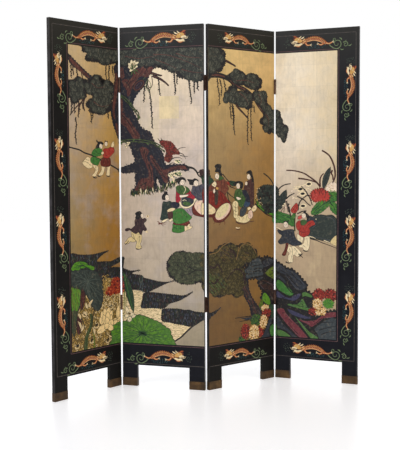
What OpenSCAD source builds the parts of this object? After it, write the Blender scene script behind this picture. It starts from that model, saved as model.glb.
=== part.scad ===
// Four-fold lacquer screen, in millimetres.
// Four framed, boarded and faced panels stand on brass-shod legs and hang together on
// knuckled butt hinges. Joints 1-2 and 3-4 fold picture to picture, so their knuckles
// stand in front; joint 2-3 folds back to back, so its knuckles stand behind.
// X runs along the screen, -Y is the picture side and +Z is up. The origin is on the
// floor, in the middle of the box that holds the standing screen.

/* [Panel] */
// Height of a panel from the floor to its top edge
panel_h = 1830; // [1600:5:2200]
// Width of a panel
panel_w = 440; // [380:5:560]
// Thickness of a panel over both facings
panel_t = 20; // [18:0.5:30]
// Height of the open space between a panel's legs
leg_gap_h = 110; // [80:5:200]
// Width of a stile, and so of the leg at its foot
stile_w = 80; // [60:1:110]
// Height of the top rail
top_rail_h = 80; // [60:1:120]
// Height of the bottom rail, the apron between the legs
bottom_rail_h = 90; // [60:1:120]
// Thickness of the gessoed and lacquered facing on each side
facing_t = 3; // [2:0.5:4]

/* [Joinery] */
// Thickness of a rail's tenon
tenon_t = 6; // [4:0.5:8]
// Length of a rail's tenon
tenon_l = 35; // [20:1:50]
// Height of the shoulder above and below a tenon
tenon_shoulder = 15; // [8:1:20]
// Number of upright boards in the core
board_count = 4; // [2:1:6]
// Thickness of the tongue on a board's edge
tongue_t = 4; // [3:0.5:6]
// Length of the tongue on a board's edge
tongue_l = 6; // [4:0.5:10]
// Depth left free at the bottom of a groove or mortise
joinery_clear = 0.5; // [0.2:0.1:1]

/* [Picture field] */
// Height of the plain border above and below the leafed field
border_h = 115; // [60:5:200]
// Width of the plain border at each end of the screen
border_w = 112; // [60:2:200]
// Depth of the recess that holds the leafed ground
ground_t = 1; // [0.5:0.1:1.5]

/* [Foot shoes] */
// Height of a brass shoe
shoe_h = 42; // [30:1:70]
// Sheet thickness of a shoe's walls and sole
shoe_wall = 0.8; // [0.5:0.1:1.2]
// Radius of a shoe pin's shank
nail_r = 0.9; // [0.6:0.1:1.4]
// Length of a shoe pin's shank
nail_l = 10; // [6:0.5:14]
// Radius of a shoe pin's head
nail_head_r = 2.2; // [1.8:0.1:3]
// Height of a shoe pin's head
nail_head_h = 0.8; // [0.5:0.1:1.2]
// Distance from a shoe's rim down to its pins
nail_drop = 12; // [6:1:18]
// Distance from a shoe's side in to its nearer pin
nail_inset = 18; // [8:1:26]

/* [Hinges] */
// Length of a hinge
hinge_l = 76; // [60:1:110]
// Width of a hinge laid open flat
hinge_open_w = 38; // [32:0.5:39]
// Thickness of a leaf, and depth of its pocket in the panel's edge
leaf_t = 1.5; // [1:0.1:2]
// Outer radius of the knuckles
knuckle_r = 4; // [3.6:0.1:5]
// Number of knuckles along a hinge
knuckle_count = 5; // [3:2:7]
// Gap between a knuckle and its neighbour along the pin
knuckle_gap = 0.3; // [0.2:0.05:0.5]
// Clear space between the knuckles and the panel's face
knuckle_stand = 0.9; // [0.5:0.1:2]
// Radius of a hinge pin
pin_r = 1.75; // [1.2:0.05:2.2]
// Running clearance round the pin
pin_clear = 0.05; // [0.02:0.01:0.1]
// Radius of the button on each end of a pin
pin_head_r = 3; // [2.6:0.1:3.6]
// Height of the button on each end of a pin
pin_head_h = 1.5; // [1:0.1:3]
// Space between two panels' edges when they stand in line
joint_gap = 3; // [2:0.25:4]
// Distance from the top edge down to the middle of the upper hinge
hinge_drop = 287; // [150:1:500]
// Distance from the floor up to the middle of the lower hinge
hinge_rise = 433; // [260:1:600]

/* [Hinge screws] */
// Number of screws in a leaf
screw_count = 3; // [2:1:4]
// Distance from a leaf's end to its nearest screw
screw_end = 12; // [8:1:20]
// Radius of a screw's shank
screw_r = 1.6; // [1.2:0.1:2]
// Length of a screw behind its head
screw_l = 16; // [10:1:25]
// Radius of a countersunk head
screw_head_r = 3; // [2.6:0.1:3.6]
// Depth of a countersunk head
screw_head_h = 1.2; // [0.8:0.1:1.4]
// Clearance round a fastener in its hole
fastener_clear = 0.05; // [0.02:0.01:0.1]

/* [Standing plan] */
// Turn of the first panel from the line of the screen, in degrees
first_turn = 37; // [20:1:45]
// Bend at joint 1-2 away from a straight line, in degrees
fold_1_2 = 65; // [20:1:90]
// Bend at joint 2-3 away from a straight line, in degrees
fold_2_3 = 54; // [20:1:90]
// Bend at joint 3-4 away from a straight line, in degrees
fold_3_4 = 60; // [20:1:90]

/* [Hidden] */
$fn = 48;
PANELS = [1, 2, 3, 4];
JOINTS = [[1, 2], [2, 3], [3, 4]];
PANEL_PARTS = [
    "left_stile", "right_stile", "top_rail", "bottom_rail", "core_boards", "front_facing",
    "picture_ground", "back_facing", "left_shoe", "right_shoe", "shoe_pins"
];
HINGE_PARTS = ["left_leaves", "right_leaves", "pins", "left_screws", "right_screws"];
function panel_node(i, part) = str("panel_", i, "_", part);
function hinge_node(j, part) = str("hinge_", j[0], "_", j[1], "_", part);

// Overshoot of a cutting solid past the face that it opens
cut = 1;
lacquer_black = "#26262a";
core_wood = "#b08a5a";
leaf_gold = "#b8954f";
shoe_bronze = "#5b4630";
hinge_brass = "#a8863f";

core_t = panel_t - 2 * facing_t;
core_z = leg_gap_h + bottom_rail_h;
core_top = panel_h - top_rail_h;
rail_l = panel_w - 2 * stile_w;
board_w = rail_l / board_count;
body_h = panel_h - leg_gap_h;
field_h = body_h - 2 * border_h;
axis_off = knuckle_r + knuckle_stand;
leaf_reach = hinge_open_w / 2;
leaf_inset = leaf_reach - axis_off;
hinge_z = [hinge_rise, panel_h - hinge_drop];
knuckle_pitch = (hinge_l + knuckle_gap) / knuckle_count;
knuckle_l = knuckle_pitch - knuckle_gap;
bore_r = pin_r + pin_clear;
screw_hole_r = screw_r + fastener_clear;
screw_pitch = (hinge_l - 2 * screw_end) / (screw_count - 1);
screw_z = [for (k = [0:screw_count - 1]) screw_end + k * screw_pitch - hinge_l / 2];
screw_y = (knuckle_r + leaf_reach) / 2;
nail_x = [nail_inset, stile_w - nail_inset];
nail_z = shoe_h - nail_drop;

// ---- Where the panels stand ----

panel_turn = [
    first_turn,
    first_turn - fold_1_2,
    first_turn - fold_1_2 + fold_2_3,
    first_turn - fold_1_2 + fold_2_3 - fold_3_4
];

function turned(p, a) = [p[0] * cos(a) - p[1] * sin(a), p[0] * sin(a) + p[1] * cos(a)];
function folds_forward(left_panel) = left_panel != 2;
function axis_y(left_panel) = folds_forward(left_panel) ? -axis_off : panel_t + axis_off;

// The hinge line seen from the panel on its left and from the panel on its right
function axis_at_right(i) = [panel_w + joint_gap / 2, axis_y(i)];
function axis_at_left(i) = [-joint_gap / 2, axis_y(i - 1)];

// A panel's front left corner, walked from panel 1 over the hinge lines
function walked(i) = i == 1 ? [0, 0] :
    walked(i - 1) + turned(axis_at_right(i - 1), panel_turn[i - 2])
    - turned(axis_at_left(i), panel_turn[i - 1]);

corners = [
    for (i = PANELS) for (x = [-shoe_wall, panel_w + shoe_wall])
        for (y = [-shoe_wall, panel_t + shoe_wall]) walked(i) + turned([x, y], panel_turn[i - 1])
];
corner_x = [for (c = corners) c[0]];
corner_y = [for (c = corners) c[1]];
middle = [(min(corner_x) + max(corner_x)) / 2, (min(corner_y) + max(corner_y)) / 2];
function hinge_line(i) = walked(i) + turned(axis_at_right(i), panel_turn[i - 1]) - middle;
for (j = JOINTS) echo(str("hinge line ", j[0], "-", j[1]), hinge_line(j[0]));

module at_panel(i) {
    translate(concat(walked(i) - middle, 0)) rotate([0, 0, panel_turn[i - 1]]) children();
}

// ---- Frame of a panel ----

module right_hand() {
    translate([panel_w, 0, 0]) mirror([1, 0, 0]) children();
}

// Draws a left-hand shape on either edge of the panel
module on_edge(right) {
    if (right) right_hand() children();
    else children();
}

function has_joint(i, right) = right ? i < len(PANELS) : i > 1;
function joint_forward(i, right) = folds_forward(right ? i : i - 1);

// Puts a shape drawn for a forward joint on the joint's own face of the panel
module on_joint_face(i, right) {
    if (joint_forward(i, right)) children();
    else translate([0, panel_t, 0]) mirror([0, 1, 0]) children();
}

// Shallow pockets that let the two leaves into a panel's edge
module leaf_pockets(i, right) {
    if (has_joint(i, right))
        on_edge(right) on_joint_face(i, right) for (z = hinge_z)
            translate([-cut, -cut, z - hinge_l / 2])
                cube([leaf_t + cut, leaf_inset + cut, hinge_l]);
}

module screw_holes(i, right) {
    if (has_joint(i, right))
        on_edge(right) on_joint_face(i, right) for (z = hinge_z) for (s = screw_z)
            translate([0, screw_y - axis_off, z + s]) rotate([0, 90, 0])
                cylinder(h = screw_l + joinery_clear, r = screw_hole_r);
}

module nail_holes() {
    for (x = nail_x)
        translate([x, panel_t - nail_l - joinery_clear, nail_z]) rotate([-90, 0, 0])
            cylinder(h = nail_l + joinery_clear + cut, r = nail_r + fastener_clear);
}

module tenon_mortise(z, rail_h) {
    depth = tenon_l + joinery_clear;
    translate([stile_w - depth, (panel_t - tenon_t) / 2, z + tenon_shoulder])
        cube([depth + cut, tenon_t, rail_h - 2 * tenon_shoulder]);
}

module edge_groove(x, z, h) {
    depth = tongue_l + joinery_clear;
    translate([x - depth, (panel_t - tongue_t) / 2, z]) cube([depth + cut, tongue_t, h]);
}

// A stile runs down as the leg at full thickness and is rebated above for the facings
module stile(i, right) {
    color(lacquer_black) difference() {
        on_edge(right) difference() {
            union() {
                translate([0, 0, shoe_wall]) cube([stile_w, panel_t, leg_gap_h - shoe_wall]);
                translate([0, facing_t, shoe_wall])
                    cube([stile_w, core_t, panel_h - shoe_wall]);
            }
            tenon_mortise(leg_gap_h, bottom_rail_h);
            tenon_mortise(core_top, top_rail_h);
            edge_groove(stile_w, core_z, core_top - core_z);
            nail_holes();
        }
        leaf_pockets(i, right);
        screw_holes(i, right);
    }
}

module rail(z, rail_h) {
    color(lacquer_black) union() {
        translate([stile_w, facing_t, z]) cube([rail_l, core_t, rail_h]);
        translate([stile_w - tenon_l, (panel_t - tenon_t) / 2, z + tenon_shoulder])
            cube([rail_l + 2 * tenon_l, tenon_t, rail_h - 2 * tenon_shoulder]);
    }
}

// One board: a tongue on its right edge, and a groove, or a tongue on the first, on its left
module board(k) {
    difference() {
        union() {
            cube([board_w, core_t, core_top - core_z]);
            tongue_x = k == 0 ? -tongue_l : board_w / 2;
            translate([tongue_x, (core_t - tongue_t) / 2, 0])
                cube([board_w + tongue_l - tongue_x, tongue_t, core_top - core_z]);
        }
        if (k > 0)
            translate([-cut, (core_t - tongue_t) / 2, -cut])
                cube([tongue_l + joinery_clear + cut, tongue_t, core_top - core_z + 2 * cut]);
    }
}

module core_boards() {
    color(core_wood) for (k = [0:board_count - 1])
        translate([stile_w + k * board_w, facing_t, core_z]) board(k);
}

// ---- Faces of a panel ----

field_start = [border_w, 0, 0, 0];
field_end = [panel_w, panel_w, panel_w, panel_w - border_w];

module field_block(i, y, depth) {
    translate([field_start[i - 1], y, leg_gap_h + border_h])
        cube([field_end[i - 1] - field_start[i - 1], depth, field_h]);
}

// Opens the field's recess past the panel's edge where the field runs on to its neighbour
module field_recess(i) {
    x0 = field_start[i - 1] > 0 ? field_start[i - 1] : -cut;
    x1 = field_end[i - 1] < panel_w ? field_end[i - 1] : panel_w + cut;
    translate([x0, -cut, leg_gap_h + border_h]) cube([x1 - x0, ground_t + cut, field_h]);
}

module front_facing(i) {
    color(lacquer_black) difference() {
        translate([0, 0, leg_gap_h]) cube([panel_w, facing_t, body_h]);
        field_recess(i);
        leaf_pockets(i, false);
        leaf_pockets(i, true);
    }
}

module picture_ground(i) {
    color(leaf_gold) difference() {
        field_block(i, 0, ground_t);
        leaf_pockets(i, false);
        leaf_pockets(i, true);
    }
}

module back_facing(i) {
    color(lacquer_black) difference() {
        translate([0, panel_t - facing_t, leg_gap_h]) cube([panel_w, facing_t, body_h]);
        leaf_pockets(i, false);
        leaf_pockets(i, true);
    }
}

// ---- Brass shoes ----

module shoe(right) {
    color(shoe_bronze) on_edge(right) difference() {
        translate([-shoe_wall, -shoe_wall, 0])
            cube([stile_w + 2 * shoe_wall, panel_t + 2 * shoe_wall, shoe_h]);
        translate([0, 0, shoe_wall]) cube([stile_w, panel_t, shoe_h]);
        nail_holes();
    }
}

module shoe_pin() {
    union() {
        cylinder(h = nail_head_h, r1 = nail_head_r, r2 = nail_head_r - nail_head_h);
        translate([0, 0, -nail_l - shoe_wall]) cylinder(h = nail_l + shoe_wall, r = nail_r);
    }
}

module shoe_pins() {
    color(shoe_bronze) for (right = [false, true]) on_edge(right) for (x = nail_x)
        translate([x, panel_t + shoe_wall, nail_z]) rotate([-90, 0, 0]) shoe_pin();
}

// ---- Hinges ----

// Draws a hinge part, made for the edge on +X of its pin line, on its own panel edge
module on_hinge(i, right) {
    on_edge(right) on_joint_face(i, right) for (z = hinge_z)
        translate([-joint_gap / 2, -axis_off, z]) children();
}

function knuckle_z(k) = k * knuckle_pitch - hinge_l / 2;

module leaf(first) {
    difference() {
        union() {
            translate([joint_gap / 2, 0, -hinge_l / 2]) cube([leaf_t, leaf_reach, hinge_l]);
            for (k = [first:2:knuckle_count - 1])
                translate([0, 0, knuckle_z(k)]) cylinder(h = knuckle_l, r = knuckle_r);
        }
        translate([0, 0, -hinge_l / 2 - cut]) cylinder(h = hinge_l + 2 * cut, r = bore_r);
        for (k = [1 - first:2:knuckle_count - 1])
            translate([0, 0, knuckle_z(k) - knuckle_gap])
                cylinder(h = knuckle_l + 2 * knuckle_gap, r = knuckle_r + knuckle_gap);
        for (z = screw_z) translate([joint_gap / 2, screw_y, z]) rotate([0, 90, 0]) {
            translate([0, 0, -cut]) cylinder(h = leaf_t + 2 * cut, r = screw_hole_r);
            cylinder(h = screw_head_h, r1 = screw_head_r + fastener_clear, r2 = screw_hole_r);
        }
    }
}

module hinge_pin() {
    end = hinge_l / 2;
    union() {
        translate([0, 0, -end]) cylinder(h = hinge_l, r = pin_r);
        for (side = [0, 1]) mirror([0, 0, side]) translate([0, 0, end]) {
            cylinder(h = pin_head_h / 2, r = pin_head_r);
            translate([0, 0, pin_head_h / 2])
                cylinder(h = pin_head_h / 2, r1 = pin_head_r, r2 = pin_head_r - pin_head_h / 2);
        }
    }
}

module screw() {
    point_h = 2 * screw_r;
    rotate([0, 90, 0]) difference() {
        union() {
            cylinder(h = screw_head_h, r1 = screw_head_r, r2 = screw_r);
            cylinder(h = screw_l - point_h, r = screw_r);
            translate([0, 0, screw_l - point_h]) cylinder(h = point_h, r1 = screw_r, r2 = screw_r / 8);
        }
        translate([-screw_head_r, -screw_r / 4, -cut])
            cube([2 * screw_head_r, screw_r / 2, cut + screw_head_h / 2]);
    }
}

module hinge_leaves(j, right) {
    color(hinge_brass) at_panel(j[right ? 1 : 0])
        on_hinge(j[right ? 1 : 0], !right) leaf(right ? 1 : 0);
}

module hinge_pins(j) {
    color(hinge_brass) at_panel(j[0]) on_hinge(j[0], true) hinge_pin();
}

module hinge_screws(j, right) {
    color(hinge_brass) at_panel(j[right ? 1 : 0]) on_hinge(j[right ? 1 : 0], !right)
        for (z = screw_z) translate([joint_gap / 2, screw_y, z]) screw();
}

// ---- Everything in its place ----

for (i = PANELS) {
    at_panel(i) stile(i, false);
    at_panel(i) stile(i, true);
    at_panel(i) rail(core_top, top_rail_h);
    at_panel(i) rail(leg_gap_h, bottom_rail_h);
    at_panel(i) core_boards();
    at_panel(i) front_facing(i);
    at_panel(i) picture_ground(i);
    at_panel(i) back_facing(i);
    at_panel(i) shoe(false);
    at_panel(i) shoe(true);
    at_panel(i) shoe_pins();
}
for (j = JOINTS) {
    hinge_leaves(j, false);
    hinge_leaves(j, true);
    hinge_pins(j);
    hinge_screws(j, false);
    hinge_screws(j, true);
}
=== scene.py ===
# %% [markdown]
# # A four-fold lacquer screen
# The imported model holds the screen's carpentry and metalwork: stiles, rails, facings, hinges and shoes.
# This lesson dresses it. It gives every surface its finish, then paints the picture and its dragon
# border as thin raised shapes, much as a lacquer shop builds them up over a gessoed ground.

# %% Load the frame and keep its size
import bpy
import math
import random
from mathutils import Matrix, Vector


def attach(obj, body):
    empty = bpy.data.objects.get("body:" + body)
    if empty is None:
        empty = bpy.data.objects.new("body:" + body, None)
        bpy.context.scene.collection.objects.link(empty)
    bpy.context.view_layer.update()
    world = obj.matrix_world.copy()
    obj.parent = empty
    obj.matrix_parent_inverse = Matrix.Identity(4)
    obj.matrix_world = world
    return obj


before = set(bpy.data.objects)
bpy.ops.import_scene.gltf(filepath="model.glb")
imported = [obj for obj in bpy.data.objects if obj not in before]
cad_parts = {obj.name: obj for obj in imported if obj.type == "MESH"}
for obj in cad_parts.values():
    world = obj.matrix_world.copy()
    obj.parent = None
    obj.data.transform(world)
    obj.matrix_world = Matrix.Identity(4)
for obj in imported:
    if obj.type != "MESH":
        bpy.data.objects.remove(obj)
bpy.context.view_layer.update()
rng = random.Random(7)

# %% [markdown]
# ## Where each panel stands
# All drawing is done flat, in millimetres on a panel: x from its left edge and z from the floor.
# The four panels stand turned, so the script has to know each one's own directions. It could repeat
# the model's angles, but reading the largest face's normal keeps the two in step.

# %% Panel directions, corners and picture fields
MM = 0.001


def middle_of(mesh):
    """The mean of a mesh's points."""
    return sum((v.co for v in mesh.vertices), Vector()) / len(mesh.vertices)


def read_panel(index):
    """Directions, front left corner, turn, width and picture field of a panel, in its own millimetres."""
    front, back, ground = (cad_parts[f"panel_{index}_{part}"].data
                           for part in ("front_facing", "back_facing", "picture_ground"))
    out = max(back.polygons, key=lambda p: p.area * (abs(p.normal.z) < 0.01)).normal.copy()
    if (middle_of(front) - middle_of(back)).dot(out) < 0:
        out.negate()
    across = Vector((-out.y, out.x, 0))
    along = [v.co.dot(across) for v in front.vertices]
    face = max(v.co.dot(out) for v in front.vertices)
    field_x = [(v.co.dot(across) - min(along)) / MM for v in ground.vertices]
    field_z = [v.co.z / MM for v in ground.vertices]
    return {
        "across": across, "out": out, "corner": across * min(along) + out * face,
        "turn": math.atan2(across.y, across.x), "width": (max(along) - min(along)) / MM,
        "top": max(v.co.z for v in front.vertices) / MM, "foot": min(v.co.z for v in front.vertices) / MM,
        "field": (min(field_x), max(field_x), min(field_z), max(field_z)),
    }


PANELS = {index: read_panel(index) for index in (1, 2, 3, 4)}
WIDTH = PANELS[1]["width"]
TOP = PANELS[1]["top"]
FOOT = PANELS[1]["foot"]
for index, panel in PANELS.items():
    field = [round(v) for v in panel["field"]]
    print("panel", index, "turned", round(math.degrees(panel["turn"]), 1), "field in mm", field)

# %% [markdown]
# ## Colours and shader nodes
# A given colour is an sRGB hex value, and shaders work in linear light, so one function converts it.
# A second gives sockets their values or links, and a third adds any shader node with its settings and
# links. That keeps each recipe short.

# %% Small helpers


def linear(hex_colour):
    """An sRGB hex string as linear RGBA."""
    parts = [int(hex_colour[k:k + 2], 16) / 255 for k in (1, 3, 5)]
    return tuple(c / 12.92 if c <= 0.04045 else ((c + 0.055) / 1.055) ** 2.4 for c in parts) + (1,)


def feed(tree, sockets, values):
    """Gives each named socket a number, an sRGB hex colour or a link from another node's output."""
    for key, value in dict(values).items():
        if isinstance(value, bpy.types.NodeSocket):
            tree.links.new(value, sockets[key])
        else:
            sockets[key].default_value = linear(value) if isinstance(value, str) else value


def add(tree, kind, inputs=(), out=0, stops=(), **settings):
    """Adds a shader node with its settings, feeds its inputs and gives one output."""
    node = tree.nodes.new("ShaderNode" + kind)
    for name, value in settings.items():
        setattr(node, name, value)
    for _ in stops[2:]:
        node.color_ramp.elements.new(0.5)
    for number, (position, colour) in enumerate(stops):
        node.color_ramp.elements[number].position = position
        node.color_ramp.elements[number].color = linear(colour)
    feed(tree, node.inputs, inputs)
    return node.outputs[out] if node.outputs else None


def per_mm(size):
    """The texture scale at which a pattern repeats about every so many millimetres."""
    return 1 / (size * MM)


def new_material(name):
    """An empty node material: its tree, its surface shader's inputs and its coordinates in metres."""
    material = bpy.data.materials.new(name)
    material.use_nodes = True
    tree = material.node_tree
    tree.nodes.clear()
    surface = add(tree, "BsdfPrincipled")
    add(tree, "OutputMaterial", {"Surface": surface})
    return material, tree, surface.node.inputs, add(tree, "TexCoord", out="Object")


print("mid grey in linear light:", round(linear("#808080")[0], 3))

# %% [markdown]
# ## Camera, light and floor
# The camera stands at the left of the screen and looks slightly to the right and down. Its place was
# fitted to the sixteen corners of the panels, so the render can be laid over the photograph.
# Two big soft lamps and a weak one behind stand in for a product studio. The one on the left is cool:
# it lights the panels that turn that way, while the others stay in warm half light. White comes from
# the backdrop's colour.

# %% Camera
PHOTO_W, PHOTO_H = 400, 450
FOCAL_PX = 876.1
CENTRE_PX = (198.4, 221.6)
CAMERA_MM = (-922.9, -4345.6, 1130.2)
YAW, PITCH, ROLL = -11.572, -3.623, 0.278
SENSOR_MM = 36.0

camera_data = bpy.data.cameras.new("camera")
camera_data.sensor_width = SENSOR_MM
camera_data.lens = FOCAL_PX / PHOTO_H * SENSOR_MM
camera_data.shift_x = (PHOTO_W / 2 - CENTRE_PX[0]) / PHOTO_H
camera_data.shift_y = (CENTRE_PX[1] - PHOTO_H / 2) / PHOTO_H
camera = bpy.data.objects.new("camera", camera_data)
turned = (Matrix.Rotation(math.radians(YAW), 4, "Z") @ Matrix.Rotation(math.radians(PITCH), 4, "X")
          @ Matrix.Rotation(math.radians(ROLL), 4, "Y") @ Matrix.Rotation(math.radians(90), 4, "X"))
camera.matrix_world = Matrix.Translation(Vector(CAMERA_MM) * MM) @ turned
bpy.context.scene.collection.objects.link(camera)
bpy.context.scene.camera = camera
print("lens", round(camera_data.lens, 1), "mm")

# %% Lamps


AIM = Vector((0, 0, 0.9))


def soft_lamp(name, place, size, watts, colour):
    """A square area lamp that faces the middle of the screen."""
    data = bpy.data.lights.new(name, "AREA")
    data.size = size
    data.energy = watts
    data.color = linear(colour)[:3]
    lamp = bpy.data.objects.new(name, data)
    lamp.location = place
    lamp.rotation_euler = (AIM - Vector(place)).to_track_quat("-Z", "Y").to_euler()
    bpy.context.scene.collection.objects.link(lamp)


soft_lamp("key_left", (-4.0, -2.5, 3.3), 2.6, 100, "#eef2ff")
soft_lamp("fill_right", (3.0, -3.8, 3.2), 2.4, 62, "#fff1dc")
soft_lamp("back_rim", (0.6, 3.4, 3.2), 2.0, 40, "#ffffff")

# %% World and floor
world = bpy.data.worlds.new("studio")
bpy.context.scene.world = world
world.use_nodes = True
sky = world.node_tree
sky.nodes.clear()
rays = add(sky, "LightPath").node.outputs
seen = add(sky, "Math", {0: rays["Is Camera Ray"], 1: rays["Is Transmission Ray"]}, operation="MAXIMUM")
seen = add(sky, "Math", {0: seen, 1: rays["Is Glossy Ray"]}, operation="MAXIMUM")
dim = add(sky, "Background", {"Color": "#f4f5f8", "Strength": 0.46})
white = add(sky, "Background", {"Color": "#ffffff", "Strength": 1.0})
add(sky, "OutputWorld", {"Surface": add(sky, "MixShader", {0: seen, 1: dim, 2: white})})

FLOOR_HALF_M = 14.0
floor_mesh = bpy.data.meshes.new("floor")
floor_mesh.from_pydata([(x, y, 0) for x, y in ((-1, -1), (1, -1), (1, 1), (-1, 1))], [], [(0, 1, 2, 3)])
floor_mesh.transform(Matrix.Scale(FLOOR_HALF_M, 4))
floor = bpy.data.objects.new("floor", floor_mesh)
bpy.context.scene.collection.objects.link(floor)
floor_material, tree, surface, place = new_material("floor_white_acrylic")
feed(tree, surface, {"Base Color": "#fbfbfc", "Roughness": 0.3})
# The glow lifts the lit floor to white and leaves the shadow of the screen on it.
feed(tree, surface, {"Emission Color": "#ffffff", "Emission Strength": 0.40})
floor_mesh.materials.append(floor_material)
bpy.context.scene.view_settings.view_transform = "Standard"

# %% [markdown]
# ## Black lacquer
# Chinese lacquer work is many thin coats of black over a gessoed board, rubbed down between coats and
# polished by hand. The eye reads three things: a deep black, a soft gloss that the rubbing breaks up into
# faint streaks, and a grey-brown rub-through on the long edges, which also paints the highlight along
# them. The black is slightly brown on panels 1 and 3, and slightly blue and lighter on panels 2 and 4:
# a painted reflection of the cool lamp on the left, which lights those panels. Towards the top the
# black is greyed: a painted sheen of the light from above. A flat black with a mirror coat would look
# like plastic, so the roughness carries the streaks.
# The panel's own x is found by turning the coordinates back by the panel's angle.

# %% Lacquer, one recipe turned to each panel
# Panels 2 and 4 get bluer, lighter blacks: a painted reflection of the cool lamp on the left, which
# lights the panels that face it.
LACQUER_TONES_WITH_SHEEN = {1: ("#0d0c0b", "#171513"), 2: ("#101015", "#191a20"),
                 3: ("#0e0d0c", "#181614"), 4: ("#101015", "#1a1b20")}
RUB_MM = 7


def on_panel(tree, place, index):
    """Coordinates in metres on the panel: x from its left edge, y into it, z from the floor."""
    turn = {"Vector": place, "Location": PANELS[index]["corner"],
        "Rotation": (0, 0, PANELS[index]["turn"])}
    return add(tree, "Mapping", turn, vector_type="TEXTURE")


def black_lacquer(index):
    """Rubbed black lacquer, greyed near the top by a painted sheen, and worn at a panel's long edges,
    where the worn grey also paints their highlight.
    """
    material, tree, surface, place = new_material(f"black_rubbed_lacquer_{index}")
    local = on_panel(tree, place, index)
    cloudy = add(tree, "TexNoise", {"Vector": local, "Scale": per_mm(90), "Detail": 4, "Roughness": 0.6})
    strokes = add(tree, "Mapping", {"Vector": local, "Scale": (1, 1, 1 / 14)})
    rubbing = add(tree, "TexNoise",
        {"Vector": strokes, "Scale": per_mm(RUB_MM), "Detail": 4, "Roughness": 0.7})
    dust = add(tree, "TexNoise", {"Vector": local, "Scale": per_mm(1.6), "Detail": 2})
    deep, raised = LACQUER_TONES_WITH_SHEEN[index]
    tone = add(tree, "ValToRGB", {"Fac": cloudy}, stops=[(0.3, deep), (0.75, raised)])
    x, _, z = add(tree, "SeparateXYZ", {0: local}).node.outputs
    # Greyer towards the top: a painted sheen of the light from above.
    top_sheen = add(tree, "MapRange", {0: z, 1: 1.5, 2: TOP * MM, 3: 0, 4: 0.35})
    tone = add(tree, "Mix", {0: top_sheen, 6: tone, 7: "#47453c"}, out=2, data_type="RGBA")
    # A grey rub-through along the long edges, which also paints the highlight that runs along them.
    reach = add(tree, "Math", {0: x, 1: WIDTH * MM / 2}, operation="SUBTRACT")
    reach = add(tree, "Math", {0: reach}, operation="ABSOLUTE")
    edge = add(tree, "MapRange", {0: reach, 1: (WIDTH / 2 - 2.5) * MM, 2: (WIDTH / 2 - 0.2) * MM})
    rub_and_highlight = add(tree, "MapRange", {0: cloudy, 1: 0.4, 2: 0.6, 3: 0.1, 4: 0.6})
    worn = add(tree, "Math", {0: edge, 1: rub_and_highlight}, operation="MULTIPLY")
    colour = add(tree, "Mix", {0: worn, 6: tone, 7: "#4a4647"}, out=2, data_type="RGBA")
    gloss = add(tree, "MapRange", {0: rubbing, 1: 0.3, 2: 0.72, 3: 0.3, 4: 0.46})
    heights = add(tree, "Math", {0: dust, 1: 0.25, 2: cloudy}, operation="MULTIPLY_ADD")
    relief = add(tree, "Bump", {"Distance": 0.3 * MM, "Height": heights})
    feed(tree, surface, {"Base Color": colour, "Roughness": gloss, "Normal": relief, "IOR": 1.52,
        "Specular IOR Level": 0.08})
    return material


LACQUER = {index: black_lacquer(index) for index in PANELS}

# %% [markdown]
# ## The leafed ground
# The picture lies on squares of metal leaf, about 110 mm wide, laid edge over edge on gesso and sealed
# with tinted varnish. Leaf tells itself by its square laps, by soft creases and by squares that differ
# a little; the creases are darkened as a painted shade. Panels 1 and 3 read as warm gold, panels 2 and 4
# as pale silver gilt. Every panel has a ladder of tones for its left side and another for its right,
# darker downwards and different from side to side and between panels of one leaf: a painted shade of
# the light over the screen, laid over the leaf's own colour. Clouds of cool grey tarnish, a hand or two
# wide, lie over the pale squares.

# %% Metal leaf, one recipe turned to each panel
LEAF_SQUARE_MM = 110
LADDER_MM = (260, 800, 1260, 1700)
TARNISH = {1: (0.42, "#a59b9a"), 2: (0.3, "#a9a1a3"), 3: (0.25, "#8a6a34"), 4: (0.4, "#d6be92")}
# Each ladder goes up from the floor, for a panel's left side and then its right; darker downwards and
# different from side to side, the tones paint shade over the leaf's own colour.
LEAF_TONES_WITH_SHADE = {
    1: (("#836533", "#997f4e", "#b49d80", "#c9ac7e"), ("#8b631e", "#9e7027", "#b68e49", "#c8a66d")),
    2: (("#9c8e74", "#c2af98", "#c4b19b", "#ddc9a1"), ("#9c8e74", "#b8a690", "#cbb8a5", "#d8c4a3")),
    3: (("#6c4c20", "#826136", "#a58858", "#d9b879"), ("#7c5722", "#8e672e", "#a17a41", "#ddba7c")),
    4: (("#a68f6e", "#b69d7d", "#e3d4bc", "#dfcfb2"), ("#a28d6e", "#ab9370", "#c9b48d", "#d0bb94")),
}


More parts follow.
